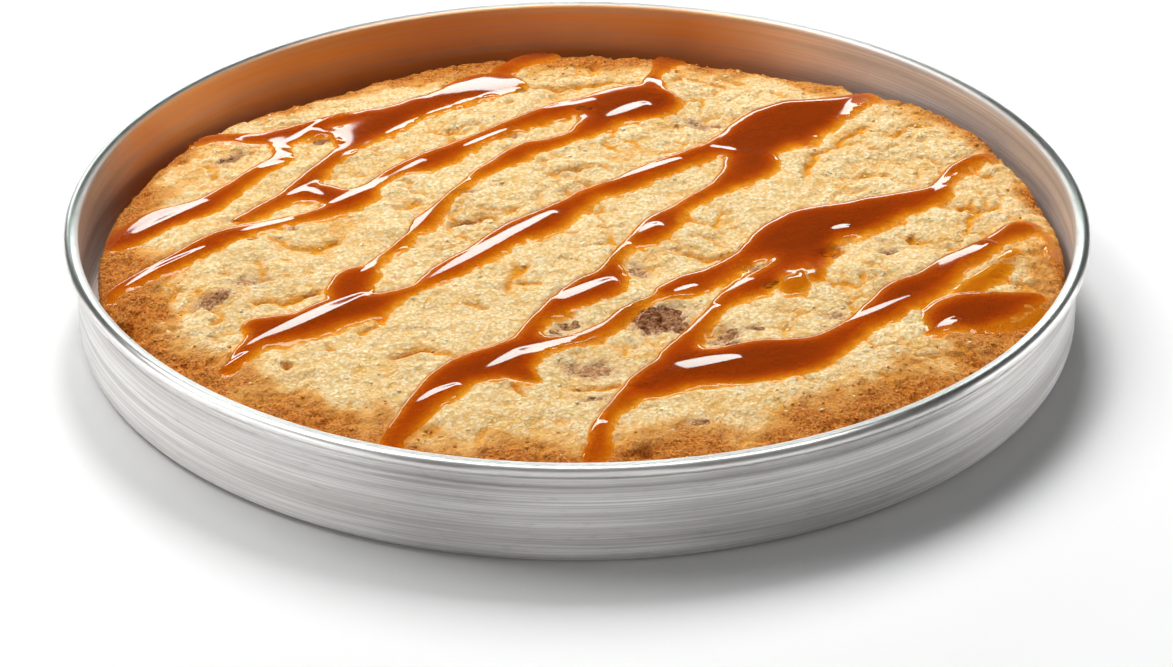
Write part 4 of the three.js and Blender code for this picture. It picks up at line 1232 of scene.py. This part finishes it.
def crumb_tree(name, material, seed, shapes=3):
    """Geometry Nodes that strew uneven grains over a surface, as thickly as the number painted on it says."""
    tree = bpy.data.node_groups.new(name, "GeometryNodeTree")
    tree.interface.new_socket("Crust", in_out="INPUT", socket_type="NodeSocketGeometry")
    for key in ("Per square metre", "Smallest", "Largest"):
        tree.interface.new_socket(key, in_out="INPUT", socket_type="NodeSocketFloat")
    tree.interface.new_socket("Crumbs", in_out="OUTPUT", socket_type="NodeSocketGeometry")
    enter = add_node(tree, "NodeGroupInput")
    share = add_node(tree, "GeometryNodeInputNamedAttribute", {"Name": name}, data_type="FLOAT")
    density = add_node(tree, "ShaderNodeMath", {0: share.outputs[0], 1: enter.outputs["Per square metre"]},
                       operation="MULTIPLY")
    scatter = add_node(tree, "GeometryNodeDistributePointsOnFaces",
                       {"Mesh": enter.outputs["Crust"], "Density": density.outputs[0], "Seed": seed},
                       distribute_method="RANDOM")
    # Each shape is a small ball pushed out of round by its own noise.
    grains = add_node(tree, "GeometryNodeJoinGeometry")
    for number in range(shapes):
        ball = add_node(tree, "GeometryNodeMeshIcoSphere", {"Radius": 0.5, "Subdivisions": 1})
        place = add_node(tree, "GeometryNodeInputPosition")
        lumps = {"Vector": place.outputs[0], "W": 3.7 * number + seed, "Scale": 1.6}
        lumps = add_node(tree, "ShaderNodeTexNoise", lumps, noise_dimensions="4D")
        push = add_node(tree, "ShaderNodeVectorMath", {0: lumps.outputs["Color"], 1: (0.5, 0.5, 0.5)},
                        operation="SUBTRACT")
        push = add_node(tree, "ShaderNodeVectorMath", {0: push.outputs[0], "Scale": 0.9}, operation="SCALE")
        rough = {"Geometry": ball.outputs[0], "Offset": push.outputs[0]}
        rough = add_node(tree, "GeometryNodeSetPosition", rough)
        single = add_node(tree, "GeometryNodeGeometryToInstance", {0: rough.outputs[0]})
        tree.links.new(single.outputs[0], grains.inputs[0])
    turn = {"Min": (-0.4, -0.4, 0), "Max": (0.4, 0.4, 6.28), "Seed": seed + 1}
    turn = add_node(tree, "FunctionNodeRandomValue", turn, data_type="FLOAT_VECTOR")
    size = {2: enter.outputs["Smallest"], 3: enter.outputs["Largest"], "Seed": seed + 2}
    size = add_node(tree, "FunctionNodeRandomValue", size, data_type="FLOAT").outputs[1]
    which = {4: 0, 5: shapes - 1, "Seed": seed + 3}
    which = add_node(tree, "FunctionNodeRandomValue", which, data_type="INT")
    flat = add_node(tree, "ShaderNodeVectorMath", {0: (1, 1, 0.4), "Scale": size}, operation="SCALE")
    strewn = add_node(tree, "GeometryNodeInstanceOnPoints", {
        "Points": scatter.outputs["Points"], "Instance": grains.outputs[0], "Pick Instance": True,
        "Instance Index": which.outputs[2], "Rotation": turn.outputs[0], "Scale": flat.outputs[0],
    })
    real = add_node(tree, "GeometryNodeRealizeInstances", {0: strewn.outputs[0]})
    coated = add_node(tree, "GeometryNodeSetMaterial", {"Geometry": real.outputs[0], "Material": material})
    add_node(tree, "NodeGroupOutput", {0: coated.outputs[0]})
    return tree


def strew(crust, name, material, share, per_square_mm, smallest, largest, seed):
    """Grains over the crust as one plain mesh. share says how thickly they lie at each point of the crust."""
    paint_points(crust.data, name, share)
    sizes = {"Per square metre": per_square_mm / MM**2, "Smallest": smallest * MM, "Largest": largest * MM}
    crumbs = grown_mesh(name, crust, crumb_tree(name, material, seed), sizes)
    crust.data.attributes.remove(crust.data.attributes[name])
    return crumbs


def make_crumbs(crust, grid, outline):
    """Pale crumbs over the top and brown ones at the shoulder, on the crust that the caramel leaves bare."""
    x, y, z = point_places(crust.data)
    browning = np.zeros(len(x), np.float32)
    crust.data.attributes["browning"].data.foreach_get("value", browning)
    dry = (1 - smooth_step(-1.2, -0.2, grid.at(outline, x, y))) * (z > 8)
    patch = 0.55 + 0.45 * bumps(x, y, 9, 101)
    pale = strew(crust, "pale_crumbs", baked_crumb("pale baked crumb", "#FAE9C4", "#EFCF98"),
                 dry * (1 - 0.8 * browning) * patch, 0.02, 0.7, 1.5, 5)
    brown = strew(crust, "brown_crumbs", baked_crumb("browned crumb", "#DA9C4C", "#BC7830"),
                  dry * browning * (0.6 + 0.4 * patch), 0.12, 0.6, 1.2, 15)
    return pale, brown


# Stage

def pale_floor():
    """Matt paper under and behind the pan: white, with no shine."""
    material, _, shader = new_material("matt white paper")
    shader.inputs["Base Color"].default_value = linear("#F7F7F7")
    shader.inputs["Roughness"].default_value = 0.95
    shader.inputs["Specular IOR Level"].default_value = 0.1
    half = 4000
    corners = [(-half, -half, 0), (half, -half, 0), (half, half, 0), (-half, half, 0)]
    floor = plain_mesh("floor", corners, [[0, 1, 2, 3]], material)


def softbox(name, azimuth, elevation, distance, width, height, radiance, colour="#FFFFFF"):
    """A rectangular light that faces the pan. Azimuth is counted from straight behind it, to the right."""
    a = math.radians(azimuth)
    e = math.radians(elevation)
    data = bpy.data.lights.new(name, "AREA")
    data.shape = "RECTANGLE"
    data.size = width
    data.size_y = height
    data.energy = radiance * math.pi * width * height
    data.color = linear(colour)[:3]
    lamp = new_object(name, data)
    lamp.location = (distance * math.sin(a) * math.cos(e), distance * math.cos(a) * math.cos(e),
                     distance * math.sin(e))
    lamp.rotation_euler = (math.pi / 2 - e, 0, math.pi - a)
    lamp.visible_camera = False
    return lamp


def light_studio():
    """A key light from behind, a low window that draws the caramel's highlights, strips that the metal
    mirrors, and fill from the left and from the room."""
    world = bpy.data.worlds.new("studio")
    bpy.context.scene.world = world
    world.use_nodes = True
    tree = world.node_tree
    way = add_node(tree, "ShaderNodeTexCoord").outputs["Generated"]
    # The room is dim behind the pan, so that the caramel's flat tops stay clear.
    behind = add_node(tree, "ShaderNodeVectorMath", {0: way, 1: (0.25, 0.83, 0.5)}, operation="DOT_PRODUCT")
    behind = behind.outputs["Value"]
    level = add_node(tree, "ShaderNodeMapRange", {0: behind, 1: 0.2, 2: 0.75, 3: 0.2, 4: 0.03})
    tree.links.new(level.outputs[0], tree.nodes["Background"].inputs["Strength"])
    tree.nodes["Background"].inputs["Color"].default_value = linear("#FFFFFF")
    key = softbox("key", 0, 54, 1.6, 0.5, 0.8, 16.5)
    # The key's own mirror image would lie on every strand, where the photograph has none.
    key.visible_glossy = False
    key.visible_transmission = False
    softbox("back_window", -7.5, 19.0, 2.2, 1.42, 0.27, 6.8, "#E6F6F2")
    # Strips that only mirrors see: low ones round the pan for its outer wall, and a high one for its rim.
    strips = [
        ("left_strip", -98, 10, 2.0, 3.6, 0.5, 2.4),
        ("right_strip", 72, 10, 2.0, 1.6, 0.5, 2.8),
        ("front_strip", 180, 12, 2.0, 1.4, 0.5, 1.2),
        ("rim_strip", 0, 75, 1.6, 1.4, 0.45, 6.5),
    ]
    for strip in strips:
        softbox(*strip).visible_diffuse = False
    softbox("left_light", -65, 57, 1.8, 1.1, 1.0, 5.0)


def place_camera():
    """The photograph's view: from the front, looking down, with the lens from the picture's width."""
    picture_width = 1173
    focal_pixels = 3692
    elevation = math.radians(28.92)
    distance = 889
    aim = (2.35, -40.5, 12.7)
    data = bpy.data.cameras.new("view")
    data.sensor_fit = "HORIZONTAL"
    data.sensor_width = 36
    data.lens = data.sensor_width * focal_pixels / picture_width
    camera = new_object("view", data)
    camera.location = (aim[0] * MM, (aim[1] - distance * math.cos(elevation)) * MM,
                       (aim[2] + distance * math.sin(elevation)) * MM)
    camera.rotation_euler = (math.pi / 2 - elevation, 0, 0)
    bpy.context.scene.camera = camera


def main():
    bpy.context.scene.view_settings.view_transform = "Standard"
    place_camera()
    light_studio()
    pale_floor()

    pan = make_pan(spun_aluminium())
    grid = CaramelGrid()
    outline, bed, thickness, tint = poured_caramel(grid)
    crust = make_crust(baked_dough(), grid, outline)
    caramel = make_caramel(boiled_caramel(), grid, outline, bed, thickness, tint)
    chips = make_chips(milk_chocolate(), grid, outline)
    pale, brown = make_crumbs(crust, grid, outline)

    for piece, slot in [(pan, "aluminium"), (crust, "baked_dough"), (caramel, "caramel"),
                        (chips, "milk_chocolate"), (pale, "baked_dough"), (brown, "baked_dough")]:
        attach(piece, "root")
    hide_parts("pan")
    for piece in (crust, caramel, chips, pale, brown):
        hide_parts("cookie")


main()
